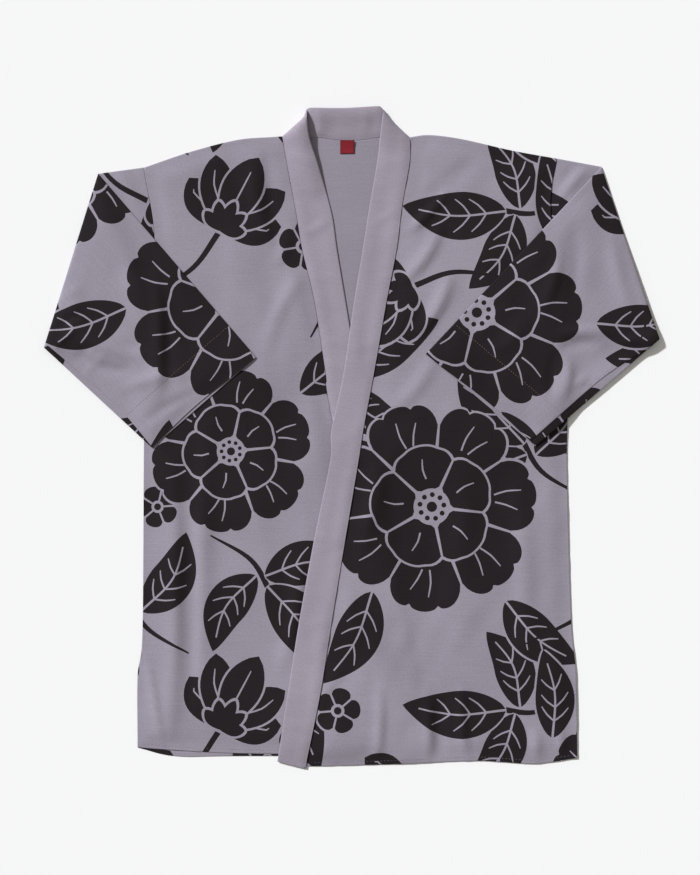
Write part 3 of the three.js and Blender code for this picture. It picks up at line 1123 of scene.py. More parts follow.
def linear(red: int, green: int, blue: int) -> Colour:
    """Returns a colour given in display values of 0 to 255 as amounts of light."""

    def one(value: int) -> float:
        """Converts one channel."""
        share = value / 255
        return share / 12.92 if share <= 0.04045 else ((share + 0.055) / 1.055) ** 2.4

    return one(red), one(green), one(blue)


class Nodes:
    """A node tree under construction."""

    def __init__(self, tree: bpy.types.NodeTree) -> None:
        """Starts with an empty tree."""
        self.tree = tree
        tree.nodes.clear()

    def add(self, kind: str, settings: dict | None = None, **values: object) -> bpy.types.Node:
        """Adds a node.

        Args:
            kind: the node's type.
            settings: its properties, set before its sockets.
            **values: values or links for its input sockets, by name or, after an
                underscore, by number.

        Returns:
            The node.
        """
        node = self.tree.nodes.new(kind)
        for name, value in (settings or {}).items():
            setattr(node, name, value)
        for name, value in values.items():
            key = int(name[1:]) if name.startswith("_") else name.replace("_", " ")
            socket = node.inputs[key]
            if isinstance(value, Number):
                value = value.socket
            if isinstance(value, bpy.types.NodeSocket):
                self.tree.links.new(value, socket)
            else:
                socket.default_value = value
        return node

    def number(
        self, kind: str, output: str | int, settings: dict | None = None, **values: object
    ) -> "Number":
        """Adds a node and returns one of its outputs as a number."""
        return Number(self, self.add(kind, settings, **values).outputs[output])

    def mix(self, factor: object, first: object, second: object) -> bpy.types.NodeSocket:
        """Mixes two colours and returns the result's socket."""
        settings = {"data_type": "RGBA", "blend_type": "MIX"}
        return self.add("ShaderNodeMix", settings, _0=factor, _6=first, _7=second).outputs[2]


@dataclass
class Number:
    """A number that the nodes work out, written like a number."""

    nodes: Nodes
    socket: bpy.types.NodeSocket

    def _math(self, operation: str, first: object, second: object = 0.0) -> "Number":
        """Adds one Math node."""
        return self.nodes.number("ShaderNodeMath", 0, {"operation": operation}, _0=first, _1=second)

    def __add__(self, other: object) -> "Number":
        """Adds."""
        return self._math("ADD", self, other)

    __radd__ = __add__

    def __sub__(self, other: object) -> "Number":
        """Subtracts."""
        return self._math("SUBTRACT", self, other)

    def __rsub__(self, other: object) -> "Number":
        """Subtracts this from another."""
        return self._math("SUBTRACT", other, self)

    def __mul__(self, other: object) -> "Number":
        """Multiplies."""
        return self._math("MULTIPLY", self, other)

    __rmul__ = __mul__

    def sine(self) -> "Number":
        """Returns the sine."""
        return self._math("SINE", self)


@dataclass(frozen=True)
class Finish:
    """The finish of one cloth or thread."""

    name: str
    colour: Colour
    dark: Colour
    roughness: float = 0.86
    sheen: float = 0.12
    pitch: float = 0.00055  # from one thread to the next, in metres
    relief: float = 0.00012  # depth of the weave, in metres
    crepe: float = 0.5  # share of the relief that is uneven

    def material(self) -> bpy.types.Material:
        """Makes the material, with its weave on the piece's own grain."""
        material = bpy.data.materials.new(self.name)
        material.use_nodes = True
        nodes = Nodes(material.node_tree)
        grain = nodes.add("ShaderNodeUVMap", {"uv_map": "grain"}).outputs[0]
        split = nodes.add("ShaderNodeSeparateXYZ", Vector=grain)
        across, up = Number(nodes, split.outputs[0]), Number(nodes, split.outputs[1])
        turn = 2 * math.pi / self.pitch
        weave = (across * turn).sine() * (up * turn).sine()
        fleck = nodes.number("ShaderNodeTexNoise", 0, Vector=grain, Scale=430.0, Detail=3.0, Roughness=0.7)
        slub = self._slub(nodes, grain)
        cloud = nodes.number("ShaderNodeTexNoise", 0, Vector=grain, Scale=7.0, Detail=3.0)
        shade = fleck * 1.1 + slub * 0.35 + cloud * 0.7 - 0.58
        colour = nodes.mix(shade, (*self.colour, 1), (*self.dark, 1))
        height = weave * (0.5 - 0.5 * self.crepe) + fleck * self.crepe + slub * 0.25
        bump = nodes.add("ShaderNodeBump", Strength=0.55, Distance=self.relief, Height=height)
        rough = fleck * 0.08 + (self.roughness - 0.04)
        shader = nodes.add(
            "ShaderNodeBsdfPrincipled",
            Base_Color=colour,
            Roughness=rough,
            Normal=bump.outputs[0],
            Sheen_Weight=self.sheen,
            Sheen_Roughness=0.45,
            Specular_IOR_Level=0.22,
        )
        nodes.add("ShaderNodeOutputMaterial", Surface=shader.outputs[0])
        return material

    @staticmethod
    def _slub(nodes: Nodes, grain: bpy.types.NodeSocket) -> Number:
        """Returns long thin unevenness along the weft, from 0 to 1."""
        drawn = nodes.add("ShaderNodeMapping", Vector=grain, Scale=(22.0, 520.0, 1.0)).outputs[0]
        return nodes.number("ShaderNodeTexNoise", 0, Vector=drawn, Scale=1.0, Detail=2.0)


GROUND = Finish("printed_ground", linear(161, 154, 167), linear(127, 121, 134))
PRINT = Finish("printed_figures", linear(36, 28, 32), linear(18, 12, 15), roughness=0.85, sheen=0.03)
INSIDE = Finish("wrong_side", linear(154, 148, 160), linear(125, 119, 131), sheen=0.1)
COLLAR = Finish("collar_cloth", linear(166, 158, 170), linear(134, 126, 139))
LABEL = Finish(
    "label_weave",
    linear(142, 30, 41),
    linear(110, 22, 31),
    roughness=0.62,
    sheen=0.05,
    pitch=0.0009,
    crepe=0.2,
)
LABEL_EDGE = Finish("label_border", linear(116, 27, 37), linear(92, 21, 30), roughness=0.6, pitch=0.0007)
THREAD = Finish("grey_thread", linear(128, 121, 133), linear(104, 98, 110), roughness=0.7, sheen=0.3)
CUFF_THREAD = Finish("brown_thread", linear(140, 118, 104), linear(112, 92, 82), roughness=0.7, sheen=0.3)


# ---- The coat's edges ----------------------------------------------------------------

# Side edges of the body, from the shoulder to the hem. The first three points are also
# the armhole seams.
SIDE_RIGHT = [(-300, 390), (-284, 281), (-298, 150), (-300, -33), (-302, -282), (-309, -345)]
SIDE_LEFT = [(296, 403), (288, 322), (313, 144), (311, -41), (317, -260), (324, -340)]
ARMHOLE = 3

# The shoulder folds, from the neck outwards.
SHOULDER_RIGHT = [(-118, 434), (-165, 430), (-232, 413)]
SHOULDER_LEFT = [(113, 437), (160, 431), (230, 415)]

# Lower edges, from the wearer's right to the left.
BACK_HEM = [(-309, -448), (-251, -460.5), (-138, -460), (326, -461)]
RIGHT_HEM = [(-309, -447.5), (-263, -451), (-167, -456), (20, -458)]
LEFT_HEM = [(-64.5, -475), (58, -472), (125, -469), (188, -467), (264, -471), (326, -463)]

# The collar's free and sewn edges, from the shoulder to the hem.
FREE_RIGHT = [(-61, 435), (-48, 394), (-29, 325), (-21, 271), (-9, 199), (9, 91), (22, 20), (109, -460)]
SEWN_RIGHT = [(-100, 435), (-93, 394), (-80, 325), (-71, 271), (-54, 199), (-37, 91), (-27, 20), (66, -460)]
FREE_LEFT = [
    (41, 434), (37, 399), (26, 335), (16, 271), (4, 199), (-12, 91), (-29, 11), (-31, -34),
    (-54, -147), (-75, -262), (-92, -369), (-107, -468),
]
SEWN_LEFT = [
    (84, 434), (84, 399), (73, 335), (65, 271), (51, 199), (32, 91), (17, 11), (10, -34),
    (-9, -147), (-28, -262), (-45, -369), (-65, -468),
]
TOE_LEFT = (-66, -478)

# Where the collar folds over beside the neck, from the shoulder to its top edge.
NECK_FOLD_RIGHT = [(-84, 449), (-70, 462), (-65, 474)]
NECK_FOLD_LEFT = [(72, 445), (58, 459), (46, 474)]
NECK_SEAM = [(-100, 435), (-50, 434), (-19.3, 430), (11.3, 430), (42, 434), (84, 434)]


def moved(points: Sequence[Point], dx: float, dy: float) -> list[Point]:
    """Returns points moved by dx and dy."""
    return [(x + dx, y + dy) for x, y in points]


def back_outline() -> Outline:
    """Returns the back's edge, which stops just inside the shoulder folds."""
    inset = 0.9
    top_left = moved([SIDE_LEFT[0], *reversed(SHOULDER_LEFT), NECK_SEAM[-1]], 0, -inset)
    top_right = moved([NECK_SEAM[0], *SHOULDER_RIGHT, SIDE_RIGHT[0]], 0, -inset)
    neck = moved(list(reversed(NECK_SEAM[1:-1])), 0, -0.2)
    return Outline(
        [
            Run(Edge.HEM, BACK_HEM),
            Run(Edge.SEAM, [BACK_HEM[-1], *reversed(SIDE_LEFT[1:]), top_left[0]]),
            Run(Edge.SEAM, top_left),
            Run(Edge.SEAM, [top_left[-1], *neck, top_right[0]]),
            Run(Edge.SEAM, top_right),
            Run(Edge.SEAM, [top_right[-1], *SIDE_RIGHT[1:], BACK_HEM[0]]),
        ]
    )


def front_right_outline() -> Outline:
    """Returns the right front's edge."""
    sewn = moved(SEWN_RIGHT, -0.2, 0)
    return Outline(
        [
            Run(Edge.SEAM, [*SIDE_RIGHT, RIGHT_HEM[0]]),
            Run(Edge.HEM, [*RIGHT_HEM, sewn[-1]]),
            Run(Edge.SEAM, list(reversed(sewn))),
            Run(Edge.TURN, [sewn[0], *SHOULDER_RIGHT, SIDE_RIGHT[0]]),
        ]
    )


def front_left_outline() -> Outline:
    """Returns the left front's edge."""
    sewn = moved(SEWN_LEFT, 0.2, 0)
    return Outline(
        [
            Run(Edge.HEM, LEFT_HEM),
            Run(Edge.SEAM, [LEFT_HEM[-1], *reversed(SIDE_LEFT)]),
            Run(Edge.TURN, [SIDE_LEFT[0], *reversed(SHOULDER_LEFT), sewn[0]]),
            Run(Edge.SEAM, [*sewn, LEFT_HEM[0]]),
        ]
    )


# ---- Panels of one thickness ---------------------------------------------------------


@dataclass
class Panel:
    """A panel of the body: one thickness of cloth, printed on its right side."""

    name: str
    outline: Outline
    lie: Lie
    print_at: Point
    print_turn: float
    printed_up: bool = True
    grid: float = 7.0
    low: float | None = None
    layer: Layer = field(init=False)

    def lay(self, pile: Pile) -> None:
        """Lays the panel on the pile."""
        self.layer = Layer(pile, self.outline, self.lie, WALL, self.low)

    def build(self, cloth: Yardage, materials: "Materials") -> bpy.types.Object:
        """Builds the panel with its hems, seams and folded shoulder.

        Args:
            cloth: the printed cloth that it is cut from.
            materials: the coat's finishes.

        Returns:
            The piece.
        """
        figure = cloth.cut(self.outline, self.print_at, self.print_turn)
        lines = [] if self.printed_up else [self._hem_line()]
        cut = CutMesh(self.outline, figure, self.grid, lines)
        work = EdgeWork(cut, self.lie.seed)
        under = self.layer.under(cut.points, cut.depth)
        if self.low is None:
            under += work.pucker
        over = under + WALL + work.hem_rise()
        middle = (under + over) / 2
        top, bottom = work.closed(over, middle), work.closed(under, middle)
        top, shift_top = work.turned(top, EDGE_LOW, Edge.TURN, 1.6, 0)
        bottom, shift_bottom = work.turned(bottom, EDGE_LOW, Edge.TURN, 1.3, WALL)
        mesh = ClothMesh(self.print_turn)
        right, wrong = ink_finish(cut), plain_finish(cut, Surface.INSIDE)
        if not self.printed_up:
            hem = work.away[Edge.HEM][0][cut.faces].max(1) < EdgeWork.HEM_WIDTH + 0.3
            wrong = np.where(hem, right, wrong)
        up, down = (right, wrong) if self.printed_up else (wrong, right)
        upper = mesh.sheet(cut, top, True, up, shift_top)
        lower = mesh.sheet(cut, bottom, False, down, shift_bottom)
        mesh.rims(cut, upper, lower, list(Edge))
        return mesh.build(self.name, materials.body())

    def _hem_line(self) -> np.ndarray:
        """Returns the inner edge of the turned-up hem."""
        path = smooth_path(self.outline.runs[0].points, Outline.FINE)
        return (path + side_normals(path) * EdgeWork.HEM_WIDTH)[3:-3]

    def hem_stitches(self, inset: float = 5.4) -> np.ndarray:
        """Returns the line of stitches along the hem, on the upper side."""
        run = next(run for run in self.outline.runs if run.kind is Edge.HEM)
        path = smooth_path(run.points, 6.0)
        line = (path + side_normals(path) * inset)[2:-2]
        return self.on_top(line)

    def on_top(self, line: np.ndarray) -> np.ndarray:
        """Lifts a line of the plane to the panel's upper side."""
        depth = nearest(line, self.outline.coarse, closed=True)[0]
        heights = self.layer.under(line, depth) + WALL + 0.35
        return np.column_stack([line, heights])


# ---- Tubes of two thicknesses --------------------------------------------------------


@dataclass
class Doubled:
    """Cloth that lies double: an upper and a lower layer, joined at their folds."""

    outline: Outline
    upper: Layer
    lower: Layer
    thick: float = WALL

    def heights(self, cut: CutMesh) -> list[np.ndarray]:
        """Returns the heights of the four sides, from the top down."""
        over, under = (one.under(cut.points, cut.depth) for one in (self.upper, self.lower))
        return [over + self.thick, over, under + self.thick, under]


LAYER_PAIRS = ((0, 1), (2, 3))  # the two sides of each thickness
FOLD_PAIRS = ((0, 3), (2, 1))  # the outer sides, and the inner ones
FOLD_RADII = (1.9, 1.3, 1.3, 1.9)
FOLD_INSETS = (0.0, WALL, WALL, 0.0)
TURN_STEP = 0.3  # from one side to the next, where all four turn down
WRAP_RADIUS = 3.8


def tube_sheets(
    mesh: ClothMesh,
    cut: CutMesh,
    sides: list[np.ndarray],
    work: EdgeWork,
    finishes: Sequence[np.ndarray],
    wrap: tuple[np.ndarray | float, Sequence[float]] | None = None,
    draw: np.ndarray | float = 0.0,
    turn: float = 1.8,
) -> list[int]:
    """Adds the four sides of doubled cloth, with its folds and free ends.

    Args:
        mesh: where the sides go.
        cut: their triangles in the plane.
        sides: their heights, from the top down.
        work: the work on the cut's edges.
        finishes: the finish of each triangle, for each side.
        wrap: the height that the sides roll to at the fold over to another cut, and how
            far inside it each one turns.
        draw: how far each point of the upper layer moves in the plane.
        turn: how far from the edge the upper side begins to turn down.

    Returns:
        The number of each side's first point.
    """
    middles = [(sides[0] + sides[1]) / 2] * 2 + [(sides[2] + sides[3]) / 2] * 2
    whole = (sides[0] + sides[3]) / 2
    firsts = []
    for k, (heights, middle) in enumerate(zip(sides, middles)):
        heights = work.closed(heights, middle)
        shift = draw if k < 2 else 0.0
        rolls = [
            (whole, Edge.FOLD, FOLD_RADII[k], FOLD_INSETS[k]),
            (EDGE_LOW, Edge.TURN, turn - TURN_STEP * k, TURN_STEP * k),
        ]
        if wrap is not None:
            rolls.append((wrap[0], Edge.WRAP, WRAP_RADIUS, wrap[1][k]))
        for roll in rolls:
            heights, more = work.turned(heights, *roll)
            shift = shift + more
        firsts.append(mesh.sheet(cut, heights, k % 2 == 0, finishes[k], shift))
    joins = [((Edge.HEM, Edge.SEAM, Edge.OPEN), LAYER_PAIRS), ((Edge.FOLD, Edge.TURN), FOLD_PAIRS)]
    for kinds, pairs in joins:
        for upper, lower in pairs:
            mesh.rims(cut, firsts[upper], firsts[lower], kinds)
    return firsts


@dataclass
class CollarPart:
    """One stretch of the collar: a long band, folded lengthwise along its free edge."""

    name: str
    outline: Outline
    creases: tuple[Crease, ...] = ()
    lifts: tuple[Crease, ...] = ()
    seed: int = 0
    low: float | None = None  # the underside's height, where it is level but for its lifts
    loft: float = 0.4
    wall: float = 0.6
    band: Doubled = field(init=False)

    def lay(self, pile: Pile) -> None:
        """Lays the band's two thicknesses."""
        lie = Lie(0.0, 10.0, (), 0.1, self.seed, self.lifts)
        lower = Layer(pile, self.outline, lie, self.wall, self.low)
        puffed = Lie(self.loft, 12.0, self.creases, 0.22, self.seed + 1, scatter=90.0)
        upper = Layer(pile, self.outline, puffed, self.wall)
        self.band = Doubled(self.outline, upper, lower, self.wall)

    def build(self, materials: "Materials") -> bpy.types.Object:
        """Builds the band and returns it."""
        cut = CutMesh(self.outline, Figure(), 6.0)
        work = EdgeWork(cut, self.seed)
        sides = self.band.heights(cut)
        sides = [height + work.pucker * (0.8 if k < 2 else 0.2) for k, height in enumerate(sides)]
        pressed = 1 - 0.5 * (1 - smoothstep(work.away[Edge.SEAM][0], 0, 6.0))
        sides = [sides[3] + (side - sides[3]) * pressed for side in sides]
        mesh = ClothMesh(-10.0)
        finishes = [plain_finish(cut, Surface.GROUND)] * 4
        tube_sheets(mesh, cut, sides, work, finishes, turn=5.0)
        return mesh.build(self.name, [materials.collar] * 3)


@dataclass
class Sleeve:
    """A wide sleeve, folded in over the front along the line from its tip to its heel.

    The tip lies on the shoulder fold and the heel on the underarm edge. The folded
    length runs along the upper fold, and the cuff from there down to the lower edge.
    """

    UNDER_PRINT = (130, 250)  # from the upper layer's print to the lower one's
    BASE_PRINT = (90, -60)  # from the folded part's print to the base's
    SEAM_DROP = 0.75  # how far the lower layer lies below the seam
    SEAM_RIDGE = 0.25
    CUFF_RISE = 0.3

    name: str
    tip: Point
    heel: Point
    folded_length: float
    length_turn: float
    cuff: float
    cuff_turn: float
    armhole: Sequence[Point]
    seam: Sequence[Point]  # where the upper layer ends beside the lower edge
    lie: Lie
    print_at: Point
    print_turn: float
    seed: int = 0
    grid: float = 6.5
    cuff_hem: float = 60.0
    tucks: tuple[Crease, ...] = ()  # creases beside the armhole
    roll: float = 2.0  # how far the folded edges stand off the surface
    gape: float = 4.5  # how far the cuff's upper edge draws back
    base: Doubled = field(init=False)
    folded: Doubled = field(init=False)

    def __post_init__(self) -> None:
        """Works out the cuff's corners."""
        self.mirrored = self.tip[0] > 0
        self.cuff_top = polar(self.tip, self.folded_length, self.length_turn)
        self.cuff_low = polar(self.cuff_top, self.cuff, self.cuff_turn)

    def _ordered(self, runs: Sequence[Run]) -> Outline:
        """Returns an outline that runs counter-clockwise on either side of the coat."""
        if not self.mirrored:
            return Outline(runs)
        turned = [Run(run.kind, list(reversed(run.points))) for run in reversed(runs)]
        return Outline(turned)

    def base_outline(self) -> Outline:
        """Returns the edge of the part that lies flat, beside the armhole."""
        dx = 0.3 if self.mirrored else -0.3
        hole = moved(self.armhole, dx, 0)
        return self._ordered(
            [
                Run(Edge.WRAP, [self.tip, self.heel]),
                Run(Edge.FOLD, [self.heel, hole[-1]]),
                Run(Edge.SEAM, list(reversed(hole))),
                Run(Edge.FOLD, [hole[0], self.tip]),
            ]
        )

    def folded_outline(self) -> Outline:
        """Returns the edge of the part that is folded in."""
        return self._ordered(
            [
                Run(Edge.WRAP, [self.tip, self.heel]),
                Run(Edge.FOLD, [self.heel, self.cuff_low]),
                Run(Edge.OPEN, [self.cuff_low, self.cuff_top]),
                Run(Edge.FOLD, [self.cuff_top, self.tip]),
            ]
        )

    def lay_base(self, pile: Pile) -> None:
        """Lays the part beside the armhole, flat on the surface."""
        outline = self.base_outline()
        back = Layer(pile, outline, Lie(), WALL, 0.0)
        front = Layer(pile, outline, Lie(1.0, 14.0, self.tucks, 0.3, self.seed + 3))
        self.base = Doubled(outline, front, back)

    def lay_folded(self, pile: Pile) -> None:
        """Lays the part that is folded in over the front."""
        outline = self.folded_outline()
        side = towards(self.tip, self.heel, 0.55), towards(self.tip, self.heel, 1.6)
        underarm = towards(self.cuff_low, self.heel, 1.4), self.cuff_low
        roll = (Crease(*side, 0.55 * self.roll, 34), Crease(*underarm, 0.6 * self.roll, 24))
        lower = Layer(pile, outline, Lie(0.4, 40.0, (), 0.15, self.seed + 1, roll))
        upper = Layer(pile, outline, self.lie)
        self.folded = Doubled(outline, upper, lower)

    def build(self, cloth: Yardage, materials: "Materials") -> bpy.types.Object:
        """Builds the sleeve as one tube.

        Args:
            cloth: the printed cloth that it is cut from.
            materials: the coat's finishes.

        Returns:
            The piece.
        """
        mesh = ClothMesh(self.print_turn)
        folded, firsts = self._folded(mesh, cloth)
        base, base_firsts = self._base(mesh, cloth)
        row = folded.along(self.tip, self.heel)
        base_row = base.along(self.tip, self.heel)
        for k in range(4):
            ours = [firsts[k] + i for i in row]
            theirs = [base_firsts[3 - k] + i for i in base_row]
            mesh.lace(ours, theirs)
        return mesh.build(self.name, materials.body())

    def _folded(self, mesh: ClothMesh, cloth: Yardage) -> tuple[CutMesh, list[int]]:
        """Adds the folded part."""
        outline = self.folded.outline
        figure = cloth.cut(outline, self.print_at, self.print_turn)
        seam = smooth_path(self.seam, Outline.FINE)
        under_at = moved([self.print_at], *self.UNDER_PRINT)[0]
        below = cloth.cut(outline, under_at, self.print_turn + 90)
        far = smooth_path([self.cuff_low, self.heel], 20.0)
        far = far + (far - np.mean(self.folded_outline().loop, axis=0)) * 0.2
        cut = CutMesh(outline, figure, self.grid, [seam], (np.vstack([seam, far]), below))
        work = EdgeWork(cut, self.seed)
        sides = self.folded.heights(cut)
        sides = [height + work.pucker for height in sides]
        beyond = self._beyond_seam(cut.points, seam)
        drop = self.SEAM_DROP * smoothstep(beyond, -0.5, 0.5)
        ridge = self.SEAM_RIDGE * np.exp(-(((beyond + 2.2) / 1.6) ** 2))
        sides[0] = np.maximum(sides[0] - drop + ridge, sides[2] + 0.1)
        sides[1] = np.maximum(np.minimum(sides[1], sides[0] - WALL * 0.7), sides[2] + 0.05)
        away = work.away[Edge.OPEN][0]
        hem = self.CUFF_RISE * (1 - smoothstep(away, 0, 2.0))
        sides[0] = sides[0] + hem
        wrap = sides[0] / 2, (0.0, 0.5, 0.9, 1.4)
        right, wrong = ink_finish(cut), plain_finish(cut, Surface.INSIDE)
        finishes = [right, wrong, wrong, right]
        return cut, tube_sheets(mesh, cut, sides, work, finishes, wrap, self._gaping(cut, work))

    def _gaping(self, cut: CutMesh, work: EdgeWork) -> np.ndarray:
        """Returns how far the cuff's upper edge draws back from the lower one."""
        away, inward = work.away[Edge.OPEN]
        top, low = np.array(self.cuff_top), np.array(self.cuff_low)
        span = low - top
        along = np.clip((cut.points - top) @ span / (span @ span), 0, 1)
        lens = np.sin(math.pi * np.clip((along - 0.12) / 0.9, 0, 1)) ** 1.3
        return inward * (self.gape * lens * (1 - smoothstep(away, 0, 30)))[:, None]

    def _beyond_seam(self, points: np.ndarray, seam: np.ndarray) -> np.ndarray:
        """Measures how far points lie beyond the seam, towards the lower edge."""
        distance, segment, _, foot = nearest(points, seam, closed=False)
        step = seam[segment + 1] - seam[segment]
        rel = points - foot
        on_left = step[:, 0] * rel[:, 1] - step[:, 1] * rel[:, 0] > 0
        sign = np.where(on_left == self.mirrored, 1.0, -1.0)
        return distance * sign

    def _base(self, mesh: ClothMesh, cloth: Yardage) -> tuple[CutMesh, list[int]]:
        """Adds the part beside the armhole."""
        outline = self.base.outline
        base_at = moved([self.print_at], *self.BASE_PRINT)[0]
        figure = cloth.cut(outline, base_at, 180 + self.print_turn)
        cut = CutMesh(outline, figure, self.grid)
        work = EdgeWork(cut, self.seed + 5)
        sides = self.base.heights(cut)
        stack = self.folded.upper.under(cut.points, np.zeros(len(cut.points))) + WALL
        insets = (1.4, 0.9, 0.5, 0.0)
        right, wrong = ink_finish(cut), plain_finish(cut, Surface.INSIDE)
        return cut, tube_sheets(mesh, cut, sides, work, [right, wrong, wrong, right], (stack / 2, insets))

    def cuff_stitches(self) -> np.ndarray:
        """Returns the line of stitches that holds the cuff's deep hem."""
        back_turn = self.length_turn + 180
        first = polar(self.cuff_top, self.cuff_hem, back_turn)
        last = polar(self.cuff_low, self.cuff_hem, back_turn)
        line = smooth_path([first, last], 6.0)[1:-1]
        layer = self.folded.upper
        depth = nearest(line, self.folded.outline.coarse, closed=True)[0]
        return np.column_stack([line, layer.under(line, depth) + WALL + 0.1])


# ---- The neck label ------------------------------------------------------------------


@dataclass
class NeckLabel:
    """A small woven label, plain, sewn on inside the back of the neck."""

    x: float = -6.0
    top: float = 429.5
    width: float = 21.0
    height: float = 20.0
    border: float = 1.8
    thick: float = 0.6

    def outline(self) -> Outline:
        """Returns the label's edge."""
        left, right = self.x - self.width / 2, self.x + self.width / 2
        low = self.top - self.height
        corners = [(left, low), (right, low + 0.3), (right - 0.3, self.top), (left + 0.2, self.top - 0.2)]
        sides = [Run(Edge.SEAM, [a, b]) for a, b in zip(corners, corners[1:] + corners[:1])]
        return Outline(sides)

    def lay(self, pile: Pile) -> None:
        """Lays the label on the back."""
        self.layer = Layer(pile, self.outline(), Lie(0, 1, (), 0.0), self.thick)

    def build(self, materials: "Materials") -> bpy.types.Object:
        """Builds the label, with its woven border, and returns it."""
        outline = self.layer.outline
        middle = outline.loop.mean(0)
        inner = middle + (outline.loop - middle) * (1 - 2 * self.border / self.width)
        cut = CutMesh(outline, Figure([(inner, True)]), 2.4)
        work = EdgeWork(cut, 77)
        under = self.layer.under(cut.points, cut.depth)
        rise = 0.18 * (1 - smoothstep(cut.depth, self.border - 0.3, self.border + 0.3))
        over = under + self.thick + rise
        centre = (over + under) / 2
        mesh = ClothMesh()
        sides = (work.closed(over, centre), work.closed(under, centre))
        upper = mesh.sheet(cut, sides[0], True, ink_finish(cut))
        lower = mesh.sheet(cut, sides[1], False, plain_finish(cut, Surface.GROUND))
        mesh.rims(cut, upper, lower, list(Edge))
        return mesh.build("neck_label_woven", [materials.label_edge, materials.label, materials.label_edge])

    def stitches(self) -> np.ndarray:
        """Returns the line of stitches round the label, just inside its edge."""
        loop = self.layer.outline.loop
        middle = loop.mean(0)
        inner = middle + (loop - middle) * (1 - 1.6 / self.width)
        inner = np.vstack([inner, inner[:1]])
        under = self.layer.under(inner, np.full(len(inner), 1.0))
        return np.column_stack([inner, under + self.thick + 0.15])


# ---- Stitches ------------------------------------------------------------------------


@dataclass
class Stitches:
    """Rows of hand stitches along lines on the cloth."""

    name: str
    thread: bpy.types.Material
    pitch: float = 5.0
    length: float = 2.6
    width: float = 0.5
    seed: int = 3

    def build(self, lines: Sequence[np.ndarray]) -> bpy.types.Object:
        """Builds every stitch of the rows.

        Args:
            lines: points of each row, in millimetres.

        Returns:
            One plain mesh.
        """
        mesh = bpy.data.meshes.new(self.name + "_rows")
        points: list[tuple[float, ...]] = []
        edges: list[tuple[int, int]] = []
        for line in lines:
            first = len(points)
            points += map(tuple, (line * MM).tolist())
            edges += [(first + i, first + i + 1) for i in range(len(line) - 1)]
        mesh.from_pydata(points, edges, [])
        rows = linked(self.name + "_rows", mesh)
        modifier = rows.modifiers.new("stitches", "NODES")
        tree = self._tree()
        modifier.node_group = tree
        values = {"Pitch": self.pitch * MM, "Length": self.length * MM, "Width": self.width * MM}
        values |= {"Seed": self.seed, "Thread": self.thread}
        for item in tree.interface.items_tree:
            if item.in_out == "INPUT" and item.name in values:
                modifier[item.identifier] = values[item.name]
        evaluated = rows.evaluated_get(bpy.context.evaluated_depsgraph_get())
        made = bpy.data.meshes.new_from_object(evaluated)
        made.name = self.name
        bpy.data.objects.remove(rows)
        map_grain(made)
        return linked(self.name, made)

    def _tree(self) -> bpy.types.NodeTree:
        """Makes the tree that sets a stitch at each step along a line."""
        tree = bpy.data.node_groups.new(self.name, "GeometryNodeTree")
        sockets = {"Geometry": "Geometry", "Pitch": "Float", "Length": "Float", "Width": "Float"}
        sockets |= {"Seed": "Int", "Thread": "Material"}
        for name, kind in sockets.items():
            tree.interface.new_socket(name, in_out="INPUT", socket_type="NodeSocket" + kind)
        tree.interface.new_socket("Geometry", in_out="OUTPUT", socket_type="NodeSocketGeometry")
        nodes = Nodes(tree)
        given = nodes.add("NodeGroupInput").outputs
        curve = nodes.add("GeometryNodeMeshToCurve", Mesh=given["Geometry"]).outputs[0]
        steps = nodes.add("GeometryNodeResampleCurve", {"mode": "LENGTH"}, Curve=curve, Length=given["Pitch"])
        tangent = nodes.add("GeometryNodeInputTangent").outputs[0]
        turn = nodes.add("FunctionNodeAlignRotationToVector", {"axis": "X"}, Vector=tangent).outputs[0]
        settings = {"data_type": "FLOAT_VECTOR"}
        draw = {"kind": "FunctionNodeRandomValue", "settings": settings, "Seed": given["Seed"]}
        sway = nodes.add(**draw, _0=(-0.02, -0.03, -0.14), _1=(0.02, 0.03, 0.14)).outputs[0]
        turned = nodes.add("FunctionNodeRotateRotation", {"rotation_space": "LOCAL"}, _0=turn, _1=sway)
        ball = nodes.add("GeometryNodeMeshUVSphere", Segments=6, Rings=4, Radius=0.5).outputs[0]
        size = nodes.add("ShaderNodeCombineXYZ", X=given["Length"], Y=given["Width"], Z=given["Width"])
        spread = nodes.add(**draw, _0=(0.82, 0.85, 0.85), _1=(1.15, 1.1, 1.1)).outputs[0]
        scale = nodes.add("ShaderNodeVectorMath", {"operation": "MULTIPLY"}, _0=size.outputs[0], _1=spread)
        placed = nodes.add(
            "GeometryNodeInstanceOnPoints",
            Points=steps.outputs[0],
            Instance=ball,
            Rotation=turned.outputs[0],
            Scale=scale.outputs[0],
        )
        real = nodes.add("GeometryNodeRealizeInstances", _0=placed.outputs[0])
        dressed = nodes.add("GeometryNodeSetMaterial", Geometry=real.outputs[0], Material=given["Thread"])
        nodes.add("NodeGroupOutput", _0=dressed.outputs[0])
        return tree


# ---- The studio ----------------------------------------------------------------------


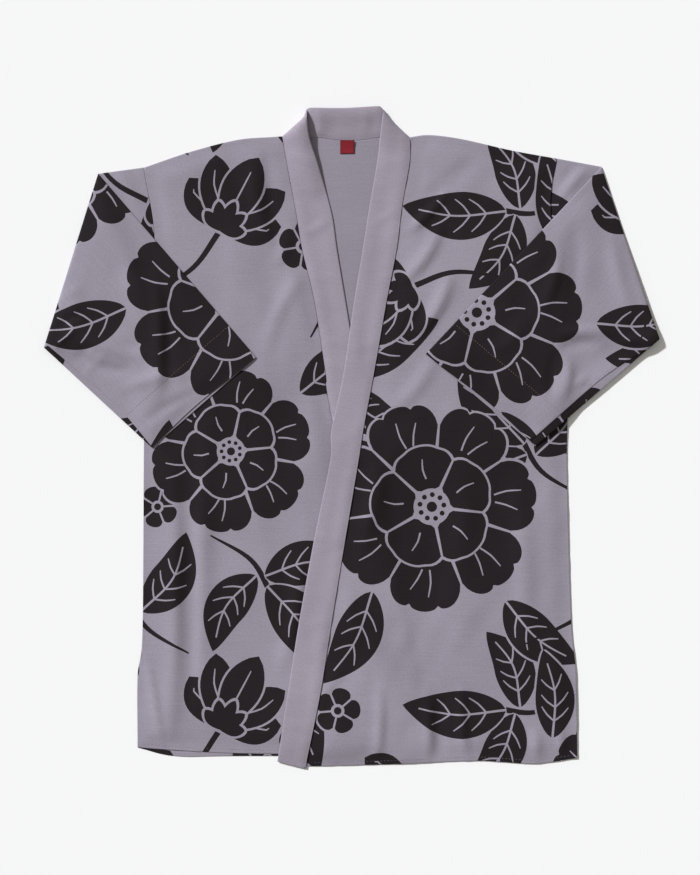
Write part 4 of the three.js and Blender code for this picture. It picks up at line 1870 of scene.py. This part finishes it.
@dataclass
class Studio:
    """A pale floor, soft light from the upper left, and a camera straight above."""

    height: float = 3.0
    centre: Point = (-2.2, 0.0)
    long_side: float = 1264.4  # what the picture's long side takes in, in millimetres
    sensor: float = 36.0
    floor_size: float = 9.0
    sun_strength: float = 4.12
    sun_spread: float = 5.0
    sun_colour: Colour = (0.989, 1.0, 1.04)
    sun_from: tuple[float, float, float] = (-0.95, 0.80, 0.80)
    sky_strength: float = 0.33
    sky_colour: Colour = (1.02, 1.0, 0.93)

    def build(self) -> None:
        """Makes the floor, the lights and the camera."""
        self._floor()
        self._lights()
        self._camera()
        bpy.context.scene.view_settings.view_transform = "Standard"

    def _floor(self) -> None:
        """Makes the floor."""
        half = self.floor_size / 2
        mesh = bpy.data.meshes.new("floor")
        corners = [(-half, -half, 0), (half, -half, 0), (half, half, 0), (-half, half, 0)]
        mesh.from_pydata(corners, [], [(0, 1, 2, 3)])
        material = bpy.data.materials.new("pale_board")
        material.use_nodes = True
        nodes = Nodes(material.node_tree)
        place = nodes.add("ShaderNodeTexCoord").outputs["Object"]
        cloud = nodes.add("ShaderNodeTexNoise", Vector=place, Scale=1.3, Detail=2.0).outputs[0]
        colour = nodes.mix(cloud, (0.90, 0.90, 0.90, 1), (0.885, 0.885, 0.885, 1))
        shader = nodes.add(
            "ShaderNodeBsdfPrincipled", Base_Color=colour, Roughness=0.95, Specular_IOR_Level=0.1
        )
        nodes.add("ShaderNodeOutputMaterial", Surface=shader.outputs[0])
        mesh.materials.append(material)
        linked("floor", mesh)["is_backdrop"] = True

    def _lights(self) -> None:
        """Makes the sky and a soft sun."""
        world = bpy.data.worlds.new("sky")
        world.use_nodes = True
        background = world.node_tree.nodes["Background"]
        background.inputs["Color"].default_value = (*self.sky_colour, 1)
        background.inputs["Strength"].default_value = self.sky_strength
        bpy.context.scene.world = world
        sun = bpy.data.lights.new("window", "SUN")
        sun.energy = self.sun_strength
        sun.color = self.sun_colour
        sun.angle = math.radians(self.sun_spread)
        lamp = linked("window", sun)
        lamp.location = (-1.2, 1.3, 2.4)
        lamp.rotation_mode = "QUATERNION"
        lamp.rotation_quaternion = (-Vector(self.sun_from)).to_track_quat("-Z", "Y")

    def _camera(self) -> None:
        """Makes the camera."""
        lens = bpy.data.cameras.new("camera")
        lens.sensor_width = self.sensor
        lens.lens = self.sensor * self.height / (self.long_side * MM)
        camera = linked("camera", lens)
        camera.location = (self.centre[0] * MM, self.centre[1] * MM, self.height)
        bpy.context.scene.camera = camera


@dataclass
class Materials:
    """The coat's finishes, made once."""

    ground: bpy.types.Material = field(default_factory=GROUND.material)
    figures: bpy.types.Material = field(default_factory=PRINT.material)
    inside: bpy.types.Material = field(default_factory=INSIDE.material)
    collar: bpy.types.Material = field(default_factory=COLLAR.material)
    label: bpy.types.Material = field(default_factory=LABEL.material)
    label_edge: bpy.types.Material = field(default_factory=LABEL_EDGE.material)
    thread: bpy.types.Material = field(default_factory=THREAD.material)
    cuff_thread: bpy.types.Material = field(default_factory=CUFF_THREAD.material)

    def body(self) -> list[bpy.types.Material]:
        """Returns the finishes of a printed piece, in the order of their numbers."""
        return [self.ground, self.figures, self.inside]


# ---- The coat ------------------------------------------------------------------------

# Rows of x, y, end x, end y, rise, half width, bow and steepness.
CREASES_RIGHT = crease_table(
    (-256, -40, -262, -430, 4.2, 17, 6, 1.3),
    (-205, 40, -214, -330, 3.1, 20, -5),
    (-232, -120, -236, -400, -2.4, 13, 4),
    (-302, -286, -272, -446, 3.0, 5, 2, 1.8),
    (-124, 410, -116, 320, -3.1, 11, 3),
    (-142, 395, -120, 290, 2.8, 13, -6),
    (-89, 330, -108, 250, 2.6, 12, 8),
    (-74, 230, -120, 130, 2.8, 15, -8),
    (-60, -190, -78, -300, -3.9, 11, 6),
    (-78, -180, -100, -330, 3.5, 17, 8),
    (-200, 395, -170, 260, 2.3, 22, 10),
)
CREASES_LEFT = crease_table(
    (140, 358, 70, 292, 4.5, 11, 6, 1.5),
    (128, 300, 78, 228, 4.8, 12, 7, 1.5),
    (142, 228, 99, 151, 4.5, 12, 6, 1.4),
    (171, 394, 75, 294, -3.5, 14, -6),
    (124, 434, 98, 400, -3.9, 8, -5, 1.5),
    (98, 400, 86, 335, -2.8, 9, 4),
    (200, 404, 245, 394, -2.4, 10, 3),
    (120, 120, 60, 40, 3.1, 16, 8),
    (41, -365, 36, -468, 3.9, 9, 4, 1.3),
    (109, -365, 112, -470, 4.2, 10, 3, 1.3),
    (130, -375, 134, -470, -3.5, 9, -3),
    (160, -365, 168, -470, 3.9, 10, -3, 1.3),
    (-19, -343, -40, -428, 4.2, 11, -14, 1.4),
    (264, -420, 266, -472, 3.5, 11, 2),
    (300, -420, 302, -470, 3.1, 9, 2),
    (238, -60, 250, -330, 3.1, 22, 6),
    (60, -20, 20, -160, 2.6, 20, -8),
    (160, -40, 150, -210, 2.3, 24, 8),
)
CREASES_SLEEVE_RIGHT = crease_table(
    (-430, 126, -400, 154, 2.2, 6, 2),
    (-408, 106, -378, 132, -1.8, 7, -2),
    (-384, 90, -356, 118, 2.0, 6, 2),
    (-391, 119, -326, 98, -4.5, 9, -6, 1.4),
    (-382, 146, -300, 118, 3.5, 12, -6, 1.3),
    (-283, 230, -280, 60, 4.2, 15, 6, 1.3),
    (-262, 180, -258, 70, -2.8, 13, -4),
    (-330, 250, -250, 200, -2.6, 18, 6),
    (-350, 300, -300, 180, 3.0, 20, 8),
    (-420, 160, -392, 176, -3.1, 7, 3),
    (-424, 190, -396, 214, 2.4, 9, 3),
    (-330, 70, -240, 90, 2.6, 12, 5),
    (-300, 20, -222, 64, -2.3, 10, 4),
)
CREASES_SLEEVE_LEFT = crease_table(
    (306, 131, 352, 136, -4.5, 8, 4, 1.5),
    (300, 150, 366, 152, 3.5, 10, 4, 1.3),
    (313, 112, 306, 62, 4.2, 10, 4, 1.4),
    (294, 120, 288, 60, -3.1, 9, -3),
    (299, 275, 278, 190, 4.2, 13, 6, 1.3),
    (322, 300, 316, 200, -2.8, 14, 5),
    (340, 90, 322, 76, 2.8, 6, 2),
    (380, 300, 400, 190, 2.8, 16, -6),
    (404, 170, 430, 150, -3.5, 8, -3, 1.4),
    (392, 140, 430, 132, 3.1, 8, 3),
    (250, 170, 200, 120, 2.6, 18, 7),
    (220, 200, 170, 150, -2.1, 14, -5),
)
WRINKLES_NECK = crease_table(
    (-50, 490, -44, 410, 2.0, 6, 1),
    (-46, 470, -38, 440, 1.0, 8, 3),
    (-18, 472, -24, 436, -0.8, 9, -3),
    (14, 472, 20, 438, 0.9, 8, 3),
    (34, 470, 28, 440, -0.8, 7, 2),
)
LIFTS_COLLAR_NECK = crease_table((-100, 490, 120, 490, 11.0, 42))
LIFTS_COLLAR_RIGHT = crease_table(
    (-99, 560, -56, 368, 8.5, 21, 2),
    (-30, 330, 0, 120, 0.5, 10, 0),
)
LIFTS_COLLAR_LEFT = crease_table((36, 400, 0, 180, 1.2, 10, 0), (-122, -486, -52, -494, 4.0, 26))
TUCKS_SLEEVE_RIGHT = crease_table(
    (-346, 384, -304, 334, 2.4, 10, 3),
    (-322, 384, -300, 352, -1.2, 8),
    (-330, 330, -298, 300, 1.5, 9, 2),
)
TUCKS_SLEEVE_LEFT = crease_table(
    (344, 392, 302, 342, 3.0, 10, -3),
    (322, 392, 300, 366, -1.4, 8),
    (330, 352, 298, 310, 1.6, 8, -2),
)

LIFTS_SIDE_LEFT = crease_table((315, 330, 328, -640, 1.6, 15, 3))

SEAM_RIGHT = [(-437, 132), (-409, 108), (-342, 49), (-313, 17), (-289, -12)]
SEAM_LEFT = [(435, 133), (368, 90), (304, 36), (258, -5)]


@dataclass
class Haori:
    """The whole coat."""

    cloth: Yardage = field(default_factory=Yardage)
    materials: Materials = field(default_factory=Materials)

    def __post_init__(self) -> None:
        """Names the pieces and the way that each one lies."""
        flat = Lie(0.0, 1.0, (), 0.0)
        front = {"loft": 2.3, "settle": 30.0, "waviness": 0.7}
        right = Lie(creases=CREASES_RIGHT, seed=11, **front)
        left = Lie(creases=CREASES_LEFT, seed=12, lifts=LIFTS_SIDE_LEFT, **front)
        self.back = Panel("back_cloth", back_outline(), flat, (40, -260), 0, False, 8.0, 0.0)
        self.front_right = Panel("front_right_cloth", front_right_outline(), right, (-610, -540), 0)
        self.front_left = Panel("front_left_cloth", front_left_outline(), left, (-40, -314), 0)
        self.sleeve_right = Sleeve(
            "sleeve_right_cloth",
            tip=(-366, 381),
            heel=(-444, 130),
            folded_length=350,
            length_turn=-49.3,
            cuff=199,
            cuff_turn=221.1,
            armhole=SIDE_RIGHT[:ARMHOLE],
            seam=SEAM_RIGHT,
            lie=Lie(2.4, 30, CREASES_SLEEVE_RIGHT, 0.75, 21, across=20.0),
            print_at=(-440, 180),
            print_turn=-49.3,
            seed=31,
            tucks=TUCKS_SLEEVE_RIGHT,
            roll=4.0,
        )
        self.sleeve_left = Sleeve(
            "sleeve_left_cloth",
            tip=(361, 391),
            heel=(444.5, 142),
            folded_length=371,
            length_turn=-133.2,
            cuff=206.5,
            cuff_turn=-40.1,
            armhole=SIDE_LEFT[:ARMHOLE],
            seam=SEAM_LEFT,
            lie=Lie(2.4, 30, CREASES_SLEEVE_LEFT, 0.75, 22, across=-15.0),
            print_at=(230, -80),
            print_turn=46.8,
            seed=37,
            tucks=TUCKS_SLEEVE_LEFT,
            roll=8.0,
        )
        self.sleeves = (self.sleeve_right, self.sleeve_left)
        right = self._wrinkles(51, FREE_RIGHT, SEWN_RIGHT)
        left = self._wrinkles(52, FREE_LEFT, SEWN_LEFT)
        self.collar_right = CollarPart(
            "collar_right_cloth", self._collar_right(), right, LIFTS_COLLAR_RIGHT, 5
        )
        self.collar_left = CollarPart(
            "collar_left_cloth", self._collar_left(), left, LIFTS_COLLAR_LEFT, 7
        )
        self.collar_neck = CollarPart(
            "collar_neck_cloth", self._collar_neck(), WRINKLES_NECK, LIFTS_COLLAR_NECK, 9, 0.0
        )
        self.label = NeckLabel()

    @staticmethod
    def _wrinkles(seed: int, free: Sequence[Point], sewn: Sequence[Point]) -> tuple[Crease, ...]:
        """Returns the small creases that cross a stretch of the collar."""
        rng = np.random.default_rng(seed)
        first, last = smooth_path(free, 6.0), smooth_path(sewn, 6.0)
        creases = []
        for share in np.arange(0.04, 0.96, 0.05):
            i = int((share + rng.uniform(-0.012, 0.012)) * (len(first) - 1))
            j = int(min(max((share + rng.uniform(-0.03, 0.03)) * (len(last) - 1), 0), len(last) - 1))
            a, b = first[i], last[j]
            start = a + (b - a) * rng.uniform(0.0, 0.3)
            end = b - (b - a) * rng.uniform(0.0, 0.3)
            rise = rng.uniform(-0.6, 1.4)
            creases.append(Crease(tuple(start), tuple(end), rise, rng.uniform(6, 11), rng.uniform(-4, 4)))
        return tuple(creases)

    @staticmethod
    def _collar_right() -> Outline:
        """Returns the edge of the collar's right stretch."""
        fold = list(reversed(NECK_FOLD_RIGHT))
        return Outline(
            [
                Run(Edge.SEAM, SEWN_RIGHT),
                Run(Edge.HEM, [SEWN_RIGHT[-1], FREE_RIGHT[-1]]),
                Run(Edge.FOLD, [*reversed(FREE_RIGHT), NECK_FOLD_RIGHT[-1]]),
                Run(Edge.TURN, [*fold, SEWN_RIGHT[0]]),
            ]
        )

    @staticmethod
    def _collar_left() -> Outline:
        """Returns the edge of the collar's left stretch."""
        return Outline(
            [
                Run(Edge.FOLD, FREE_LEFT),
                Run(Edge.HEM, [FREE_LEFT[-1], TOE_LEFT]),
                Run(Edge.SEAM, [TOE_LEFT, SEWN_LEFT[-1]]),
                Run(Edge.SEAM, list(reversed(SEWN_LEFT))),
                Run(Edge.TURN, [SEWN_LEFT[0], *NECK_FOLD_LEFT]),
                Run(Edge.FOLD, [NECK_FOLD_LEFT[-1], FREE_LEFT[0]]),
            ]
        )

    @staticmethod
    def _collar_neck() -> Outline:
        """Returns the edge of the collar's stretch across the back of the neck."""
        inset = 1.2
        left = moved([NECK_SEAM[-1], *NECK_FOLD_LEFT], -inset, 0)
        right = moved([NECK_SEAM[0], *NECK_FOLD_RIGHT], inset, 0)
        top = [left[-1], (41, 477.5), (-9, 475), (-60, 475.5), right[-1]]
        return Outline(
            [
                Run(Edge.SEAM, [right[0], *NECK_SEAM[1:-1], left[0]]),
                Run(Edge.SEAM, left),
                Run(Edge.FOLD, top),
                Run(Edge.SEAM, list(reversed(right))),
            ]
        )

    def lay(self) -> None:
        """Lays every piece, from the surface up."""
        pile = Pile()
        for part in (self.back, self.collar_neck):
            part.lay(pile)
        for sleeve in self.sleeves:
            sleeve.lay_base(pile)
        for part in (self.label, self.front_right, self.collar_right, self.front_left, self.collar_left):
            part.lay(pile)
        for sleeve in self.sleeves:
            sleeve.lay_folded(pile)
        LOG.info("the pile is %.1f mm high", pile.top.max())

    def build(self) -> None:
        """Builds and dresses every piece."""
        self.lay()
        panels = (self.back, self.front_right, self.front_left)
        bands = (self.collar_right, self.collar_left, self.collar_neck)
        back, right, left, *tubes = [
            self._add(part.build(self.cloth, self.materials), "printed_cloth")
            for part in (*panels, *self.sleeves)
        ]
        collars = [self._add(band.build(self.materials), "collar_cloth") for band in bands]
        label = self._add(self.label.build(self.materials), "label_cloth")
        hems = Stitches("hem_stitches", self.materials.thread)
        cuffs = Stitches("cuff_stitches", self.materials.cuff_thread, 4.2, 2.6, 0.55, 5)
        self._add(hems.build([panel.hem_stitches() for panel in panels[1:]]), STITCH_SLOT)
        self._add(cuffs.build([sleeve.cuff_stitches() for sleeve in self.sleeves]), STITCH_SLOT)
        for panel, piece, under in zip(panels, (back, right, left), ([], [back], [right])):
            self._declare(piece, panel.outline, under)
        for sleeve, tube, front in zip(self.sleeves, tubes, (right, left)):
            self._declare_sleeve(sleeve, tube, front)
        for band, piece in zip(bands, collars):
            self._declare_band(band, piece, back)
        self._declare(label, self.label.layer.outline, [back])

    @staticmethod
    def _declare(piece: bpy.types.Object, outline: Outline, under: Sequence) -> None:
        """Takes a piece of one thickness, its outline and the pieces under it, and does nothing with them."""

    @staticmethod
    def _declare_sleeve(sleeve: Sleeve, tube: bpy.types.Object, front: bpy.types.Object) -> None:
        """Works out the area of a sleeve's cut, which runs all round the tube, and leaves it unused."""
        area = 2 * (sleeve.folded.outline.area() + sleeve.base.outline.area())

    @staticmethod
    def _declare_band(band: CollarPart, piece: bpy.types.Object, back: bpy.types.Object) -> None:
        """Works out the box and the area of a stretch of the collar's cut, which is twice as wide as the
        folded band, and leaves them unused.
        """
        width, length = band.outline.size()
        area = 2 * band.outline.area()

    @staticmethod
    def _add(piece: bpy.types.Object, slot: str) -> bpy.types.Object:
        """Fixes a piece to the coat and hides the solid that it stands for, unless the piece is stitching."""
        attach(piece, BODY_NAME)
        if slot != STITCH_SLOT:
            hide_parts(piece.name.removesuffix("_cloth").removesuffix("_woven"))
        LOG.info("%s: %d faces", piece.name, len(piece.data.polygons))
        return piece


def corners(bounds: tuple[Vector, Vector]) -> list[list[float]]:
    """Returns a box's two corners as plain lists."""
    return [[round(value, 5) for value in corner] for corner in bounds]


def main() -> None:
    """Builds the coat on its stage."""
    logging.basicConfig(level=logging.INFO, format="%(name)s: %(message)s")
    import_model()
    solid_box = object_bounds()
    Studio().build()
    Haori().build()
    {"solids": corners(solid_box), "pieces": corners(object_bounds())}


if __name__ == "__main__":
    main()
